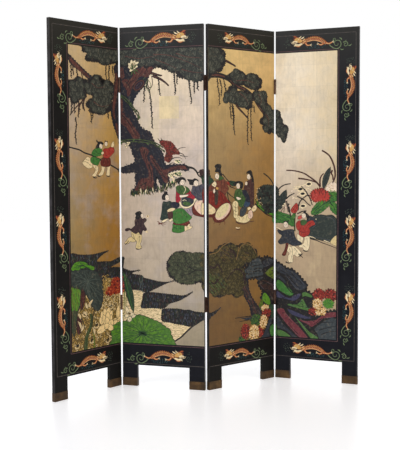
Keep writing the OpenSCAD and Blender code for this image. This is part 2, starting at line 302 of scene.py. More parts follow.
def metal_leaf(index, name, tones):
    """Squares of leaf under varnish, with one ladder of tones for each side of the panel, which on the
    panels' own leaf paints shade.
    """
    material, tree, surface, place = new_material(f"varnished_{name}_leaf_{index}")
    local = on_panel(tree, place, index)
    parts = add(tree, "SeparateXYZ", {0: local}).node.outputs
    flat = add(tree, "CombineXYZ", {0: parts[0], 1: parts[2]})
    laid = {"Vector": flat, "Color1": (0, 0, 0, 1), "Color2": (1, 1, 1, 1), "Mortar": (0.5, 0.5, 0.5, 1),
        "Scale": 1.0, "Mortar Size": 0.9 * MM, "Mortar Smooth": 0.5, "Brick Width": LEAF_SQUARE_MM * MM,
        "Row Height": LEAF_SQUARE_MM * MM}
    squares = add(tree, "TexBrick", laid, offset=0.0, squash=1.0).node.outputs
    clouds = add(tree, "TexNoise", {"Vector": local, "Scale": per_mm(240), "Detail": 3}).node.outputs
    patches = add(tree, "TexNoise", {"Vector": local, "Scale": per_mm(55), "Detail": 4, "Roughness": 0.6})
    strokes = add(tree, "Mapping", {"Vector": local, "Scale": (1, 1, 1 / 5)})
    streaks = add(tree, "TexNoise",
        {"Vector": strokes, "Scale": per_mm(13), "Detail": 4, "Roughness": 0.65})
    creases = add(tree, "TexVoronoi", {"Vector": local, "Scale": per_mm(70)}, feature="DISTANCE_TO_EDGE")
    low, high = LADDER_MM[0] * MM, LADDER_MM[-1] * MM
    wander = add(tree, "Math", {0: clouds["Fac"], 1: 0.28, 2: parts[2]}, operation="MULTIPLY_ADD")
    height = add(tree, "MapRange", {0: wander, 1: low + 0.14, 2: high + 0.14})
    rungs = [(z * MM - low) / (high - low) for z in LADDER_MM]
    # The ladders paint shade: darker downwards and different for each side of a panel.
    left, right = (add(tree, "ValToRGB", {"Fac": height}, stops=list(zip(rungs, side))) for side in tones)
    drift = add(tree, "Math", {0: patches, 1: 0.3, 2: parts[0]}, operation="MULTIPLY_ADD")
    side = add(tree, "MapRange", {0: drift, 1: 0.25 * WIDTH * MM + 0.15, 2: 0.85 * WIDTH * MM + 0.15})
    colour = add(tree, "Mix", {0: side, 6: left, 7: right}, out=2, data_type="RGBA")
    stain = add(tree, "TexNoise", {"Vector": local, "Scale": per_mm(170), "Detail": 4, "Roughness": 0.6})
    stain = add(tree, "MapRange", {0: stain, 1: 0.5, 2: 0.66, 3: 0, 4: TARNISH[index][0]})
    colour = add(tree, "Mix", {0: stain, 6: colour, 7: TARNISH[index][1]}, out=2, data_type="RGBA")
    tint = add(tree, "RGBToBW", {0: squares["Color"]})
    light = add(tree, "MapRange", {0: tint, 1: 0, 2: 1, 3: 0.42, 4: 0.52})
    light = add(tree, "Math", {0: patches, 1: 0.55, 2: light}, operation="MULTIPLY_ADD")
    light = add(tree, "Math", {0: streaks, 1: 0.42, 2: light}, operation="MULTIPLY_ADD")
    lap = add(tree, "Math", {0: squares["Fac"], 1: -0.13, 2: light}, operation="MULTIPLY_ADD")
    # The creases are darkened: a painted shade in them.
    crease = add(tree, "MapRange", {0: creases, 1: 0.0, 2: 0.035, 3: -0.06, 4: 0})
    light = add(tree, "Math", {0: lap, 1: crease}, operation="ADD")
    colour = add(tree, "VectorMath", {0: colour, "Scale": light}, operation="SCALE")
    gloss = add(tree, "MapRange", {0: patches, 1: 0.3, 2: 0.7, 3: 0.42, 4: 0.55})
    heights = add(tree, "Math", {0: squares["Fac"], 1: 0.6, 2: streaks}, operation="MULTIPLY_ADD")
    relief = add(tree, "Bump", {"Distance": 0.1 * MM, "Height": heights})
    feed(tree, surface, {"Base Color": colour, "Metallic": 0.3, "Roughness": gloss, "Normal": relief})
    return material


LEAF = {index: metal_leaf(index, "metal", LEAF_TONES_WITH_SHADE[index]) for index in PANELS}

# %% [markdown]
# ## Metal and bare wood
# The shoes are sheet brass, browned with a patina and wiped back, so the colour runs from dark brown
# to dull gold in clouds. The hinges are the same brass, browned darker, with a drawn grain.
# The core boards are planed softwood, which nothing shows unless a panel is taken apart.

# %% Patinated brass and planed wood


def browned_brass(name, tones, patch_mm):
    """Rolled brass, browned in patches, with grime."""
    material, tree, surface, place = new_material(name)
    clouds = add(tree, "TexNoise",
        {"Vector": place, "Scale": per_mm(patch_mm), "Detail": 5, "Roughness": 0.65})
    grime = add(tree, "TexNoise", {"Vector": place, "Scale": per_mm(5), "Detail": 4, "Roughness": 0.7})
    rolled = add(tree, "Mapping", {"Vector": place, "Scale": (1 / 6, 1 / 6, 1)})
    rolling = add(tree, "TexNoise", {"Vector": rolled, "Scale": per_mm(2.2), "Detail": 3})
    colour = add(tree, "ValToRGB", {"Fac": clouds}, stops=list(zip((0.3, 0.52, 0.75), tones)))
    dirt = add(tree, "MapRange", {0: grime, 1: 0.55, 2: 0.75, 3: 0, 4: 0.5})
    colour = add(tree, "Mix", {0: dirt, 6: colour, 7: tones[0]}, out=2, data_type="RGBA")
    gloss = add(tree, "MapRange", {0: grime, 1: 0.3, 2: 0.7, 3: 0.34, 4: 0.6})
    relief = add(tree, "Bump", {"Distance": 0.04 * MM, "Height": rolling})
    feed(tree, surface, {"Base Color": colour, "Metallic": 0.55, "Roughness": gloss, "Normal": relief})
    return material


def planed_softwood():
    """Pale softwood whose grain runs upwards."""
    material, tree, surface, place = new_material("planed_softwood")
    growth = add(tree, "Mapping", {"Vector": place, "Scale": (1, 1, 1 / 22)})
    grain = add(tree, "TexNoise", {"Vector": growth, "Scale": per_mm(9), "Detail": 5, "Roughness": 0.6})
    colour = add(tree, "ValToRGB", {"Fac": grain},
        stops=[(0.3, "#8e6a40"), (0.5, "#b08a5a"), (0.7, "#c8a473")])
    relief = add(tree, "Bump", {"Distance": 0.2 * MM, "Height": grain})
    feed(tree, surface, {"Base Color": colour, "Roughness": 0.7, "Normal": relief})
    return material


SHOE_BRASS = browned_brass("browned_sheet_brass", ("#2a1c0d", "#483217", "#684c28"), 45)
HINGE_BRASS = browned_brass("browned_hinge_brass", ("#33231e", "#523a30", "#6f5242"), 18)
SOFTWOOD = planed_softwood()

# %% Give every node of the model its finish


def finish_for(name):
    """The material of one node of the model."""
    index = int(name.split("_")[1])
    if name.startswith("hinge"):
        return HINGE_BRASS
    if "shoe" in name:
        return SHOE_BRASS
    if "core" in name:
        return SOFTWOOD
    return LEAF[index] if "ground" in name else LACQUER[index]


for name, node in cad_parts.items():
    node.data.materials.clear()
    node.data.materials.append(finish_for(name))
print("dressed", len(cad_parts), "nodes in", len(bpy.data.materials), "materials")

# %% [markdown]
# ## Picture colours
# The picture is drawn in thick lacquer colours: ground pigment in lacquer or glue, laid over gesso and
# cut round with a knife, so a black line stays between them. Such a colour dries matt to satin, pools
# a little unevenly, and crazes with age. Each one is mottled at 12 mm, with fine cracks about 6 mm
# apart, drawn a little coarser than real ones so that they show.

# %% Thick lacquer colours
COLOURS = {"ink": "#1a1819", "needle": "#33362f", "needle_line": "#6b6b5c", "crown": "#3e371d",
    "crown_line": "#716439", "crown_green": "#3b3f2c", "crown_leaf": "#5f6348", "crown_rim": "#86683c",
    "bark": "#552f29", "bark_dark": "#341f1d", "bark_ridge": "#6b3d33", "bark_shade": "#1d1d26",
    "knot": "#392633", "pine_bark": "#3d302c", "leaf_green": "#3d7430", "leaf_bright": "#5a8a24",
    "bright_leaf": "#4f8a18", "pond_leaf": "#4a742b", "leaf_dark": "#263f2a", "stem_green": "#333c1e",
    "collar_green": "#3d5a2c", "bush": "#26302c", "lotus_dark": "#2f3732", "lotus_line": "#4c564d",
    "lotus_red": "#7c1d12", "lotus_orange": "#aa401c", "lotus_gold": "#f0cf92", "red": "#a12b20",
    "flower_red": "#b03a30", "dark_red": "#63261d", "maple": "#8a2c28", "robe_red": "#a02433",
    "brick_robe": "#8c2f22", "maroon": "#42201c", "coat_red": "#a5342a", "lady_robe": "#6f3a2a",
    "lady_skirt": "#7a2118", "stripe_brown": "#40332a", "rose": "#c4544a", "orange": "#cf6a35",
    "cream": "#f1ddb2", "cream_shade": "#c9a878", "peony": "#f3dcc0", "pink_cream": "#e9c7ae",
    "drum_yellow": "#e2d3a0", "skirt": "#e8d3a0", "mauve": "#a39294", "blue_grey": "#4b5362",
    "slate": "#2f333a", "blue_robe": "#33455c", "navy": "#20222f", "grey_robe": "#47464f",
    "brown_robe": "#4a2c28", "teal_robe": "#27352f", "stone_blue": "#3a4144", "stone_brown": "#38241f",
    "stone_violet": "#3c3b54", "stone_rose": "#70333a", "stone_green": "#4c7238",
    "stone_olive": "#5c6c1e", "swirl": "#5a5c66", "dragon": "#aa582e", "dragon_belly": "#dfae74",
    "dragon_spark": "#f1dcae", "gold": "#cf9f58", "scroll": "#6c7d58", "scroll_dim": "#465445",
    "cloud": "#1e484c", "line_red": "#573d3f", "line_dull": "#46403d", "water": "#c9a254",
    "water_line": "#8f7a50", "water_cream": "#ecd3a2", "pond_gold": "#6c5629", "blossom_green": "#4b6c27",
    "plum_robe": "#3b292b", "skin": "#f2dfc4", "gold_patch": "#dcc48c", "earth": "#5e4a28",
    "moss": "#4d5f34"}
CRACK_MM = 6


def lacquer_colour(name, body):
    """One thick lacquer colour: pooled dark, rubbed pale and finely cracked."""
    material, tree, surface, place = new_material(f"cut_lacquer_{name}")
    pooled = add(tree, "TexNoise", {"Vector": place, "Scale": per_mm(12), "Detail": 4, "Roughness": 0.6})
    grit = add(tree, "TexNoise", {"Vector": place, "Scale": per_mm(1.8), "Detail": 3})
    cracks = add(tree, "TexVoronoi", {"Vector": place, "Scale": per_mm(CRACK_MM)},
        feature="DISTANCE_TO_EDGE")
    craze = add(tree, "MapRange", {0: cracks, 1: 0.0, 2: 0.05, 3: 1, 4: 0})
    shade = add(tree, "Mix", {0: 0.35, 6: body, 7: "#15110f"}, out=2, data_type="RGBA")
    worn = add(tree, "Mix", {0: 0.16, 6: body, 7: "#d9c39a"}, out=2, data_type="RGBA")
    low = add(tree, "MapRange", {0: pooled, 1: 0.52, 2: 0.3, 3: 0, 4: 1})
    high = add(tree, "MapRange", {0: pooled, 1: 0.55, 2: 0.78, 3: 0, 4: 1})
    colour = add(tree, "Mix", {0: low, 6: body, 7: shade}, out=2, data_type="RGBA")
    colour = add(tree, "Mix", {0: high, 6: colour, 7: worn}, out=2, data_type="RGBA")
    line = add(tree, "Math", {0: craze, 1: 0.35}, operation="MULTIPLY")
    colour = add(tree, "Mix", {0: line, 6: colour, 7: shade}, out=2, data_type="RGBA")
    gloss = add(tree, "MapRange", {0: grit, 1: 0.3, 2: 0.7, 3: 0.45, 4: 0.65})
    heights = add(tree, "Math", {0: craze, 1: -0.5, 2: pooled}, operation="MULTIPLY_ADD")
    relief = add(tree, "Bump", {"Distance": 0.15 * MM, "Height": heights})
    feed(tree, surface, {"Base Color": colour, "Roughness": gloss, "Normal": relief,
        "Specular IOR Level": 0.22})
    return material


PIGMENTS = {name: lacquer_colour(name, body) for name, body in COLOURS.items()}
for name, tone in (("late", "#d6c195"), ("faint", "#cbb99c")):
    PIGMENTS[name + "_leaf"] = metal_leaf(2, name, ((tone,) * 4,) * 2)
print("mixed", len(PIGMENTS), "colours")

# %% [markdown]
# ## Drawing on the unfolded screen
# Motifs cross from panel to panel, so they are drawn on the screen as if it lay open flat: u runs along
# all four panels and z up from the floor, both in millimetres. Each shape is cut to the picture field
# of every panel that it crosses, then raised as a thin closed plate. Plates up to 0.8 mm thick are
# what layered lacquer measures, and they keep clear when the panels fold. Outlines are given one by one
# as short texts of x,z pairs, which are easier to read and change than nested brackets.

# %% Curves and outlines


def smooth(points, steps=5, closed=True):
    """A rounded curve through the points."""
    count = len(points)
    if closed:
        rows = [[points[(k + j) % count] for j in (-1, 0, 1, 2)] for k in range(count)]
    else:
        ends = [points[0], *points, points[-1]]
        rows = [ends[k:k + 4] for k in range(count - 1)]
    curve = []
    for a, b, c, d in rows:
        for t in (step / steps for step in range(steps)):
            point = []
            for n in (0, 1):
                second = 2 * a[n] - 5 * b[n] + 4 * c[n] - d[n]
                third = 3 * b[n] - a[n] - 3 * c[n] + d[n]
                point.append(b[n] + 0.5 * t * (c[n] - a[n] + t * (second + t * third)))
            curve.append(tuple(point))
    return curve if closed else curve + [tuple(points[-1])]


def area(outline):
    """The area inside an outline, positive where it runs anticlockwise."""
    return sum(a[0] * b[1] - b[0] * a[1] for a, b in zip(outline, outline[1:] + outline[:1])) / 2


def wound(outline):
    """The outline in anticlockwise order."""
    return list(outline) if area(outline) > 0 else list(outline)[::-1]


def right_of(points, closed=True):
    """Unit directions to the right of the way along the points."""
    count = len(points)
    sides = []
    for k in range(count):
        a = points[(k - 1) % count] if closed or k else points[0]
        b = points[(k + 1) % count] if closed or k < count - 1 else points[-1]
        length = math.dist(a, b) or 1
        sides.append(((b[1] - a[1]) / length, (a[0] - b[0]) / length))
    return sides


def grown(outline, by):
    """The outline moved outwards."""
    outline = wound(outline)
    return [(x + nx * by, z + nz * by) for (x, z), (nx, nz) in zip(outline, right_of(outline))]


def evenly(points, step, closed=True):
    """Points at equal steps along a path."""
    path = list(points) + ([points[0]] if closed else [])
    lengths = [math.dist(a, b) for a, b in zip(path, path[1:])]
    count = max(3, round(sum(lengths) / step))
    marks, walked, k = [], 0.0, 0
    for n in range(count if closed else count + 1):
        target = sum(lengths) * n / count
        while k < len(lengths) - 1 and walked + lengths[k] < target:
            walked += lengths[k]
            k += 1
        t = (target - walked) / (lengths[k] or 1)
        marks.append(tuple(path[k][n] + (path[k + 1][n] - path[k][n]) * t for n in (0, 1)))
    return marks


def scalloped(outline, size, depth=0.5):
    """The outline as a row of small bumps."""
    corners = evenly(wound(outline), size)
    bumps = []
    for (ax, az), (bx, bz) in zip(corners, corners[1:] + corners[:1]):
        tall = depth * rng.uniform(0.6, 1.3)
        for t in (0, 0.25, 0.5, 0.75):
            lift = tall * math.sin(math.pi * t)
            bumps.append((ax + (bx - ax) * t + (bz - az) * lift, az + (bz - az) * t + (ax - bx) * lift))
    return bumps


def ribbon(path, wide, end=None):
    """The outline of a brush stroke, from one width to another along its path."""
    end = wide if end is None else end
    last = len(path) - 1
    right, left = [], []
    for k, ((x, z), (nx, nz)) in enumerate(zip(path, right_of(path, closed=False))):
        half = (wide + (end - wide) * k / last) / 2
        right.append((x + nx * half, z + nz * half))
        left.append((x - nx * half, z - nz * half))
    return right + left[::-1]


def blade(start, tip, wide, bend=0.0, steps=9):
    """A leaf or petal: widest in the middle, pointed at the ends, bowed by a share of its length."""
    (ax, az), (bx, bz) = start, tip
    right, left = [], []
    for k in range(steps + 1):
        t = k / steps
        bow = bend * 4 * t * (1 - t)
        x, z = ax + (bx - ax) * t - (bz - az) * bow, az + (bz - az) * t + (bx - ax) * bow
        half = wide / 2 * math.sin(math.pi * t) ** 0.8 / math.dist(start, tip)
        right.append((x + (bz - az) * half, z - (bx - ax) * half))
        left.append((x - (bz - az) * half, z + (bx - ax) * half))
    return right + left[-2:0:-1]


def oval(centre, wide, tall, tilt=0.0, steps=16):
    """A closed oval, tilted in degrees."""
    c, s = math.cos(math.radians(tilt)), math.sin(math.radians(tilt))
    ring = [(wide / 2 * math.cos(math.tau * k / steps), tall / 2 * math.sin(math.tau * k / steps))
        for k in range(steps)]
    return [(centre[0] + x * c - z * s, centre[1] + x * s + z * c) for x, z in ring]


def moved(points, to, turn=0.0, size=1.0, flip=1):
    """Points scaled, mirrored where flip is -1, turned in degrees and carried to a place."""
    c, s = math.cos(math.radians(turn)) * size, math.sin(math.radians(turn)) * size
    return [(to[0] + flip * x * c - z * s, to[1] + flip * x * s + z * c) for x, z in points]


def inside(point, outline):
    """Whether a point lies inside an outline."""
    odd = False
    for a, b in zip(outline, outline[1:] + outline[:1]):
        if (a[1] > point[1]) != (b[1] > point[1]):
            odd ^= point[0] < a[0] + (point[1] - a[1]) * (b[0] - a[0]) / (b[1] - a[1])
    return odd


def spots(outline, wide, tall, jitter=0.3):
    """Places on a loose brick grid inside an outline."""
    us, zs = zip(*outline)
    found = []
    for row in range(int((max(zs) - min(zs)) / tall) + 1):
        for column in range(int((max(us) - min(us)) / wide) + 2):
            u = min(us) + (column + 0.5 * (row % 2) + rng.uniform(-jitter, jitter)) * wide
            z = min(zs) + (row + 0.5 + rng.uniform(-jitter, jitter)) * tall
            if inside((u, z), outline):
                found.append((u, z))
    return found


print("a 100 mm square grown by 5 mm:", round(area(grown(oval((0, 0), 100, 100), 5))), "square mm")

# %% Laying shapes of colour
# A level counts thin coats. A shape lies over all those with a lower level.
LAYER_MM = 0.03
FIRST_MM = 0.1
SUNK_MM = 0.2
SHORTEST_EDGE_MM = 0.05
SMALLEST_SHAPE_MM2 = 0.5
LAID = {}


def clipped(outline, low, high, axis):
    """The part of an outline that lies between two limits along one axis."""
    for limit, side in ((low, 1), (high, -1)):
        kept = []
        for a, b in zip(outline, outline[1:] + outline[:1]):
            a_in, b_in = ((p[axis] - limit) * side >= 0 for p in (a, b))
            if a_in:
                kept.append(a)
            if a_in != b_in:
                t = (limit - a[axis]) / (b[axis] - a[axis])
                kept.append((a[0] + t * (b[0] - a[0]), a[1] + t * (b[1] - a[1])))
        outline = kept
    return outline


def lay(piece, colour, outline, level, edge=0.0, on="picture"):
    """Lays a flat shape on each panel it crosses, with a black line round it where edge is given."""
    if edge:
        lay(piece, "ink", grown(outline, edge), level - 0.6, on=on)
    outline = wound(outline)
    for index, panel in PANELS.items():
        start = WIDTH * (index - 1)
        x_low, x_high, z_low, z_high = panel["field"] if on == "picture" else (0, WIDTH, FOOT, TOP)
        part = clipped([(u - start, z) for u, z in outline], x_low, x_high, 0)
        part = clipped(part, z_low, z_high, 1)
        part = [p for p, q in zip(part, part[-1:] + part[:-1]) if math.dist(p, q) > SHORTEST_EDGE_MM]
        if len(part) > 2 and abs(area(part)) > SMALLEST_SHAPE_MM2:
            LAID.setdefault((piece, index), []).append((part, colour, FIRST_MM + LAYER_MM * level))


def stroke(piece, colour, points, wide, level, end=None, on="picture"):
    """A brush stroke through a few points."""
    lay(piece, colour, ribbon(smooth(points, closed=False), wide, end), level, on=on)


def trace(text):
    """Points written as "x,z x,z", in millimetres."""
    return [tuple(map(float, pair.split(","))) for pair in text.split()]


LIFT_4_MM = 20


def at(index, points):
    """Points of a panel, as text or as pairs, moved to the unfolded screen.

    Those of panel 4 were taken low, so they are lifted, most of all at half height.
    """
    points = trace(points) if isinstance(points, str) else points
    rise = LIFT_4_MM if index == 4 else 0
    lifts = [rise * math.sin(math.pi * min(max(z / TOP, 0), 1)) for x, z in points]
    return [(x + WIDTH * (index - 1), z + lift) for (x, z), lift in zip(points, lifts)]

# %% [markdown]
# ## The border: fine lines and sixteen dragons
# The black border carries two thin red-brown lines and a row of dragons, each trailing a green scroll.
# A lacquer shop traces such a figure from one pricked pattern, so here one dragon is drawn once and
# then carried to sixteen places. It is drawn lying down, head to the right and about 330 mm long.

# %% One dragon with its scroll and clouds
BACK_BONE = [(22, -5), (34, 2), (48, 11), (68, 19), (88, 22), (110, 19), (130, 12), (148, 3)]
HEAD_SIZE = 0.86
NECK = (146, 6)
CLAW_TURNS = (-38, 0, 38)
LEGS = [((30, 0), (8, -6), (-10, 1)), ((34, -2), (48, -10), (62, -6)),
        ((134, 8), (122, -8), (106, -8)), ((150, 4), (166, -12), (184, -8))]
HEAD = (("dark_red",
    ((142, 6), (146, 22), (158, 34), (176, 42), (198, 40), (204, 28), (196, 14), (176, 6), (158, 0))),
    ("gold", ((150, 10), (154, 24), (166, 33), (182, 36), (194, 30), (196, 20), (184, 12), (168, 7))),
    ("dragon_spark", ((178, 14), (192, 19), (206, 17), (210, 8), (196, 4), (180, 6))),
    ("dragon_spark", ((146, -2), (160, -10), (178, -12), (196, -7), (190, 1), (172, -2), (156, 3))))
MANE = (("dragon_spark", (160, 30), (136, 42), 7), ("dragon_spark", (172, 34), (154, 47), 6),
    ("dragon", (180, 35), (206, 45), 8), ("dragon_belly", (152, 18), (130, 30), 7),
    ("dragon_belly", (150, 8), (126, 16), 6), ("dark_red", (184, 8), (208, 5), 4))


def spiral(centre, radius, start, turns, inner=0.2, steps=22):
    """Points winding in to a centre, from an angle in degrees."""
    path = []
    for k in range(steps + 1):
        angle = math.radians(start) + math.tau * turns * k / steps
        r = radius * (1 - (1 - inner) * k / steps)
        path.append((centre[0] + r * math.cos(angle), centre[1] + r * math.sin(angle)))
    return path


def dragon(to, turn=0.0, flip=1, size=1.0):
    """Lays one dragon; its haunches are at the given place."""

    def put(colour, outline, level):
        lay("border_dragons", colour, moved(outline, to, turn, size, flip), level, on="border")

    body = smooth(BACK_BONE, closed=False)
    sides = right_of(body, closed=False)
    last = len(body) - 1

    def beside(k, share):
        """A point beside the back bone, at a share of the body's half width; the belly is positive."""
        half = (4.5 + 4.5 * math.sin(math.pi * k / last)) * share
        return (body[k][0] + sides[k][0] * half, body[k][1] + sides[k][1] * half)

    def strip(back, belly):
        return [beside(k, belly) for k in range(last + 1)] + [beside(k, back)
            for k in range(last, -1, -1)]

    put("dark_red", strip(-1.2, 1.15), 1)
    put("dragon", strip(-0.7, 0.65), 2)
    put("dragon_belly", strip(0.6, 1.0), 3)
    put("gold", strip(-1.05, -0.8), 3)
    for k in range(2, last - 1, 2):
        put("dark_red", ribbon([beside(k, -0.8), beside(k + 1, -0.1), beside(k, 0.55)], 2.4, 1.6), 3)
        put("dragon", blade(beside(k, -0.8), beside(k - 1, -1.8), 5), 2)
        put("dragon_belly", oval(beside(k + 1, -0.5), 3.4, 2.6, steps=8), 3.4)
        put("dragon_spark", oval(beside(k, 0.1), 2.8, 2.2, steps=8), 3.4)
    for limb in LEGS:
        path = smooth(limb, closed=False)
        put("dark_red", ribbon(path, 12, 7), 3)
        put("dragon", ribbon(path, 9, 4.5), 4)
        put("dragon_belly", ribbon(path[2:], 3.6, 2.2), 5)
        heading = math.degrees(math.atan2(limb[2][1] - limb[1][1], limb[2][0] - limb[1][0]))
        for spread in CLAW_TURNS:
            put("dragon_spark", ribbon(moved([(0, 0), (9, 1)], limb[2], heading + spread), 3.2, 1.2), 5)

    def on_head(colour, outline, level):
        put(colour, [tuple(n + (v - n) * HEAD_SIZE for v, n in zip(point, NECK)) for point in outline],
            level)

    for number, (colour, outline) in enumerate(HEAD):
        on_head(colour, smooth(outline), 6 + number)
    for colour, root, tip, wide in MANE:
        on_head(colour, blade(root, tip, wide, 0.12), 10)
    on_head("dragon_spark", ribbon(smooth([(200, 2), (213, 4), (218, 15)], closed=False), 3, 1.4), 10)
    on_head("dragon_spark", oval((175, 25), 8, 6), 11)
    on_head("ink", oval((176, 25), 4, 4), 12)
    trail = smooth([(8, -8), (-2, -20)], closed=False) + spiral((-34, -9), 27, -50, -1.45, 0.16)
    put("scroll", ribbon(trail, 5, 2.2), 2)
    put("scroll", ribbon(spiral((-22, 13), 10, -120, 1.2), 3.4, 1.6), 2)
    put("scroll", ribbon(spiral((-78, -14), 15, 40, 1.3), 4.4, 2), 2)
    for root, tip in (((-60, 6), (-44, 20)), ((-64, -4), (-82, 8)), ((-90, -20), (-110, -14)),
            ((-50, -34), (-70, -38))):
        put("scroll", blade(root, tip, 5, 0.2), 2)
    for place in spots(oval((76, -18), 110, 22), 12, 8):
        put("cloud", oval(place, rng.uniform(5, 9), 3.6, rng.uniform(-40, 40), 8), 1)
    for place in spots(oval((226, 10), 40, 56), 12, 9):
        put("scroll_dim", oval(place, rng.uniform(4, 7), 3, rng.uniform(-60, 60), 8), 1)


# %% Sixteen dragons, four to a side of the border and two to each rail
LEFT_SIDE_Z = (1487, 1088, 722, 330)
RIGHT_SIDE_Z = (1457, 1066, 690, 298)
for z, shift, growth in ((1758, 11, 0.05), (155, 0, 0)):
    for start, flip, size in ((144 + shift, 1, 0.96 + growth), (WIDTH + 133 + shift, 1, 1 + growth),
            (2 * WIDTH + 286, -1, 0.92), (3 * WIDTH + 292, -1, 1)):
        dragon((start, z), flip=flip, size=size)
for z in LEFT_SIDE_Z:
    dragon((60, z), turn=90, size=0.9)
for z in RIGHT_SIDE_Z:
    dragon((WIDTH * 3 + 388, z), turn=-90, flip=-1, size=0.9)

# %% Two fine lines round the whole screen
LINE_WIDE = 3
OUTER_SIDE, OUTER_TOP, OUTER_FOOT = 16, 27, 10
INNER_GAP = 8


def fine_line(colour, u_low, u_high, z_low, z_high):
    """A plain upright or level bar in the border."""
    corners = [(u_low, z_low), (u_high, z_low), (u_high, z_high), (u_low, z_high)]
    lay("border_lines", colour, corners, 0, on="border")


field_low, field_high = PANELS[1]["field"][2:]
inner = (PANELS[1]["field"][0] - INNER_GAP, 3 * WIDTH + PANELS[4]["field"][1] + INNER_GAP,
         field_low - INNER_GAP, field_high + INNER_GAP)
outer = (OUTER_SIDE, 4 * WIDTH - OUTER_SIDE, FOOT + OUTER_FOOT, TOP - OUTER_TOP)
for colour, (left, right, low, high) in (("line_red", inner), ("line_dull", outer)):
    for z in (low, high):
        fine_line(colour, left, right, z - LINE_WIDE / 2, z + LINE_WIDE / 2)
    for u in (left, right):
        fine_line(colour, u - LINE_WIDE / 2, u + LINE_WIDE / 2, low, high)
print("border pieces:", len(LAID))

# %% [markdown]
# ## Trees: needles, bark and hanging vines
# The old tree spreads its pads over all four panels. A pad is built of tufts that overlap like tiles,
# row below row, each cut round in black and filled with a fan of paler needles. Bark is a black, knobby
# mass with red-brown patches, scored with darker strokes that waver along them. Vines hang as fine
# strings with small leaves.

# %% Needle pads, bark and vines
TUFT_MM = (44, 27)
FAN_NEEDLES, FAN_DEGREES = 7, 24
LEVELS_PER_MM = 0.045  # so that a tuft lies over those above it


def needles(outline, piece="tree_needles", level=6, dark="needle", light="needle_line", tuft=TUFT_MM,
        lobe=0.26, inset=0.3):
    """A pad of needle tufts inside a rough outline."""
    outline = smooth(outline, 4)
    if lobe:
        outline = scalloped(grown(outline, -0.1 * tuft[0]), 1.1 * tuft[0], lobe)
    top = max(z for _, z in outline)
    lay(piece, "ink", scalloped(grown(outline, 1 if lobe else 4), tuft[0] * rng.uniform(0.24, 0.36), 0.5),
        level)
    for number, (u, z) in enumerate(spots(grown(outline, -tuft[1] * inset), *tuft, jitter=0.2)):
        height = level + 0.3 + LEVELS_PER_MM * (top - z) + 0.5 * (number % 2)
        wide, tall = tuft[0] * rng.uniform(1.0, 1.25), tuft[1] * rng.uniform(1.3, 1.6)
        shape = scalloped(oval((u, z), wide, tall, rng.uniform(-16, 16), 14), 8, 0.45)
        lay(piece, "ink", grown(shape, tuft[1] * 0.06), height)
        lay(piece, dark, shape, height + 0.35)
        for k in range(FAN_NEEDLES):
            angle = math.radians(FAN_DEGREES * (k - FAN_NEEDLES // 2) + rng.uniform(-9, 9))
            reach = (wide * 0.46 * math.sin(angle), tall * 0.74 * math.cos(angle))
            ends = [(u + reach[0] * share, z - tall * 0.32 + reach[1] * share)
                for share in (rng.uniform(0.2, 0.5), 1)]
            lay(piece, rng.choice((light, light, "ink")), ribbon(ends, 1.9, 0.9), height + 0.7)


def rings(piece, outline, heart, shares, colour, wide, level):
    """Broken lines that follow an outline, each nearer to its heart."""
    for share in shares:
        ring = [(heart[0] + (u - heart[0]) * share, heart[1] + (z - heart[1]) * share)
            for u, z in outline]
        cut = rng.randrange(len(ring))
        ring = ring[cut:] + ring[:cut]
        third = len(ring) // 3
        for k in range(3):
            part = ring[k * third:(k + 1) * third - rng.randint(1, 3)]
            if len(part) > 3:
                lay(piece, colour, ribbon(part, wide, wide * 0.3), level)


def middle(outline):
    """The mean of an outline's points."""
    return (sum(u for u, _ in outline) / len(outline), sum(z for _, z in outline) / len(outline))


def ridges(piece, outline, colours, level, step=(26, 11), wide=5):
    """Short wavering strokes that run the long way through a piece of bark."""
    a, b = max(((p, q) for p in outline for q in outline), key=lambda pair: math.dist(*pair))
    way = [(b[n] - a[n]) / math.dist(a, b) for n in (0, 1)]
    for u, z in spots(outline, *step):
        half = rng.uniform(9, 22)
        sway = rng.uniform(-5, 5)
        path = [(u + way[0] * half * t - way[1] * sway * t * t,
            z + way[1] * half * t + way[0] * sway * t * t) for t in (-1, -0.4, 0.2, 1)]
        lay(piece, rng.choice(colours), ribbon(path, wide * rng.uniform(0.6, 1.2), 1),
            level + rng.random())


def bark(piece, outline, patches, level):
    """A trunk: a black, knobby mass with red-brown patches."""
    mass = smooth(outline, 4)
    lay(piece, "bark_shade", scalloped(mass, 17, 0.26), level)
    ridges(piece, mass, ("slate", "ink", "bark_dark", "ink"), level + 0.4, (34, 15), 3.5)
    for points in patches:
        patch = smooth(points, 4)
        lay(piece, "bark", scalloped(patch, 11, 0.4), level + 1.6)
        ridges(piece, patch, ("bark_dark", "bark_dark", "ink", "bark_ridge"), level + 2)


def branch(points, wide, end, level=3, piece="tree_trunk"):
    """A branch: black and knobby, with a brown strip along it."""
    path = smooth(points, 5, closed=False)
    lay(piece, "ink", scalloped(ribbon(path, wide, end), 9, 0.2), level)
    lay(piece, "bark", ribbon(path, wide * 0.4, end * 0.25), level + 1)


def vine(points, wide=4, level=4, leaf=10, colour="ink", piece="vines", step=9):
    """A fine hanging string with small leaves on both sides."""
    path = smooth(points, 5, closed=False)
    lay(piece, colour, scalloped(ribbon(path, wide, wide * 0.6), 7, 0.3), level)
    for k, (u, z) in enumerate(evenly(path, step, closed=False)):
        side = rng.choice((-1, 1))
        size = leaf * rng.uniform(0.6, 1.1)
        lay(piece, colour, oval((u + side * size * 0.4, z), size, size * 0.55, -side * 45, 8), level)


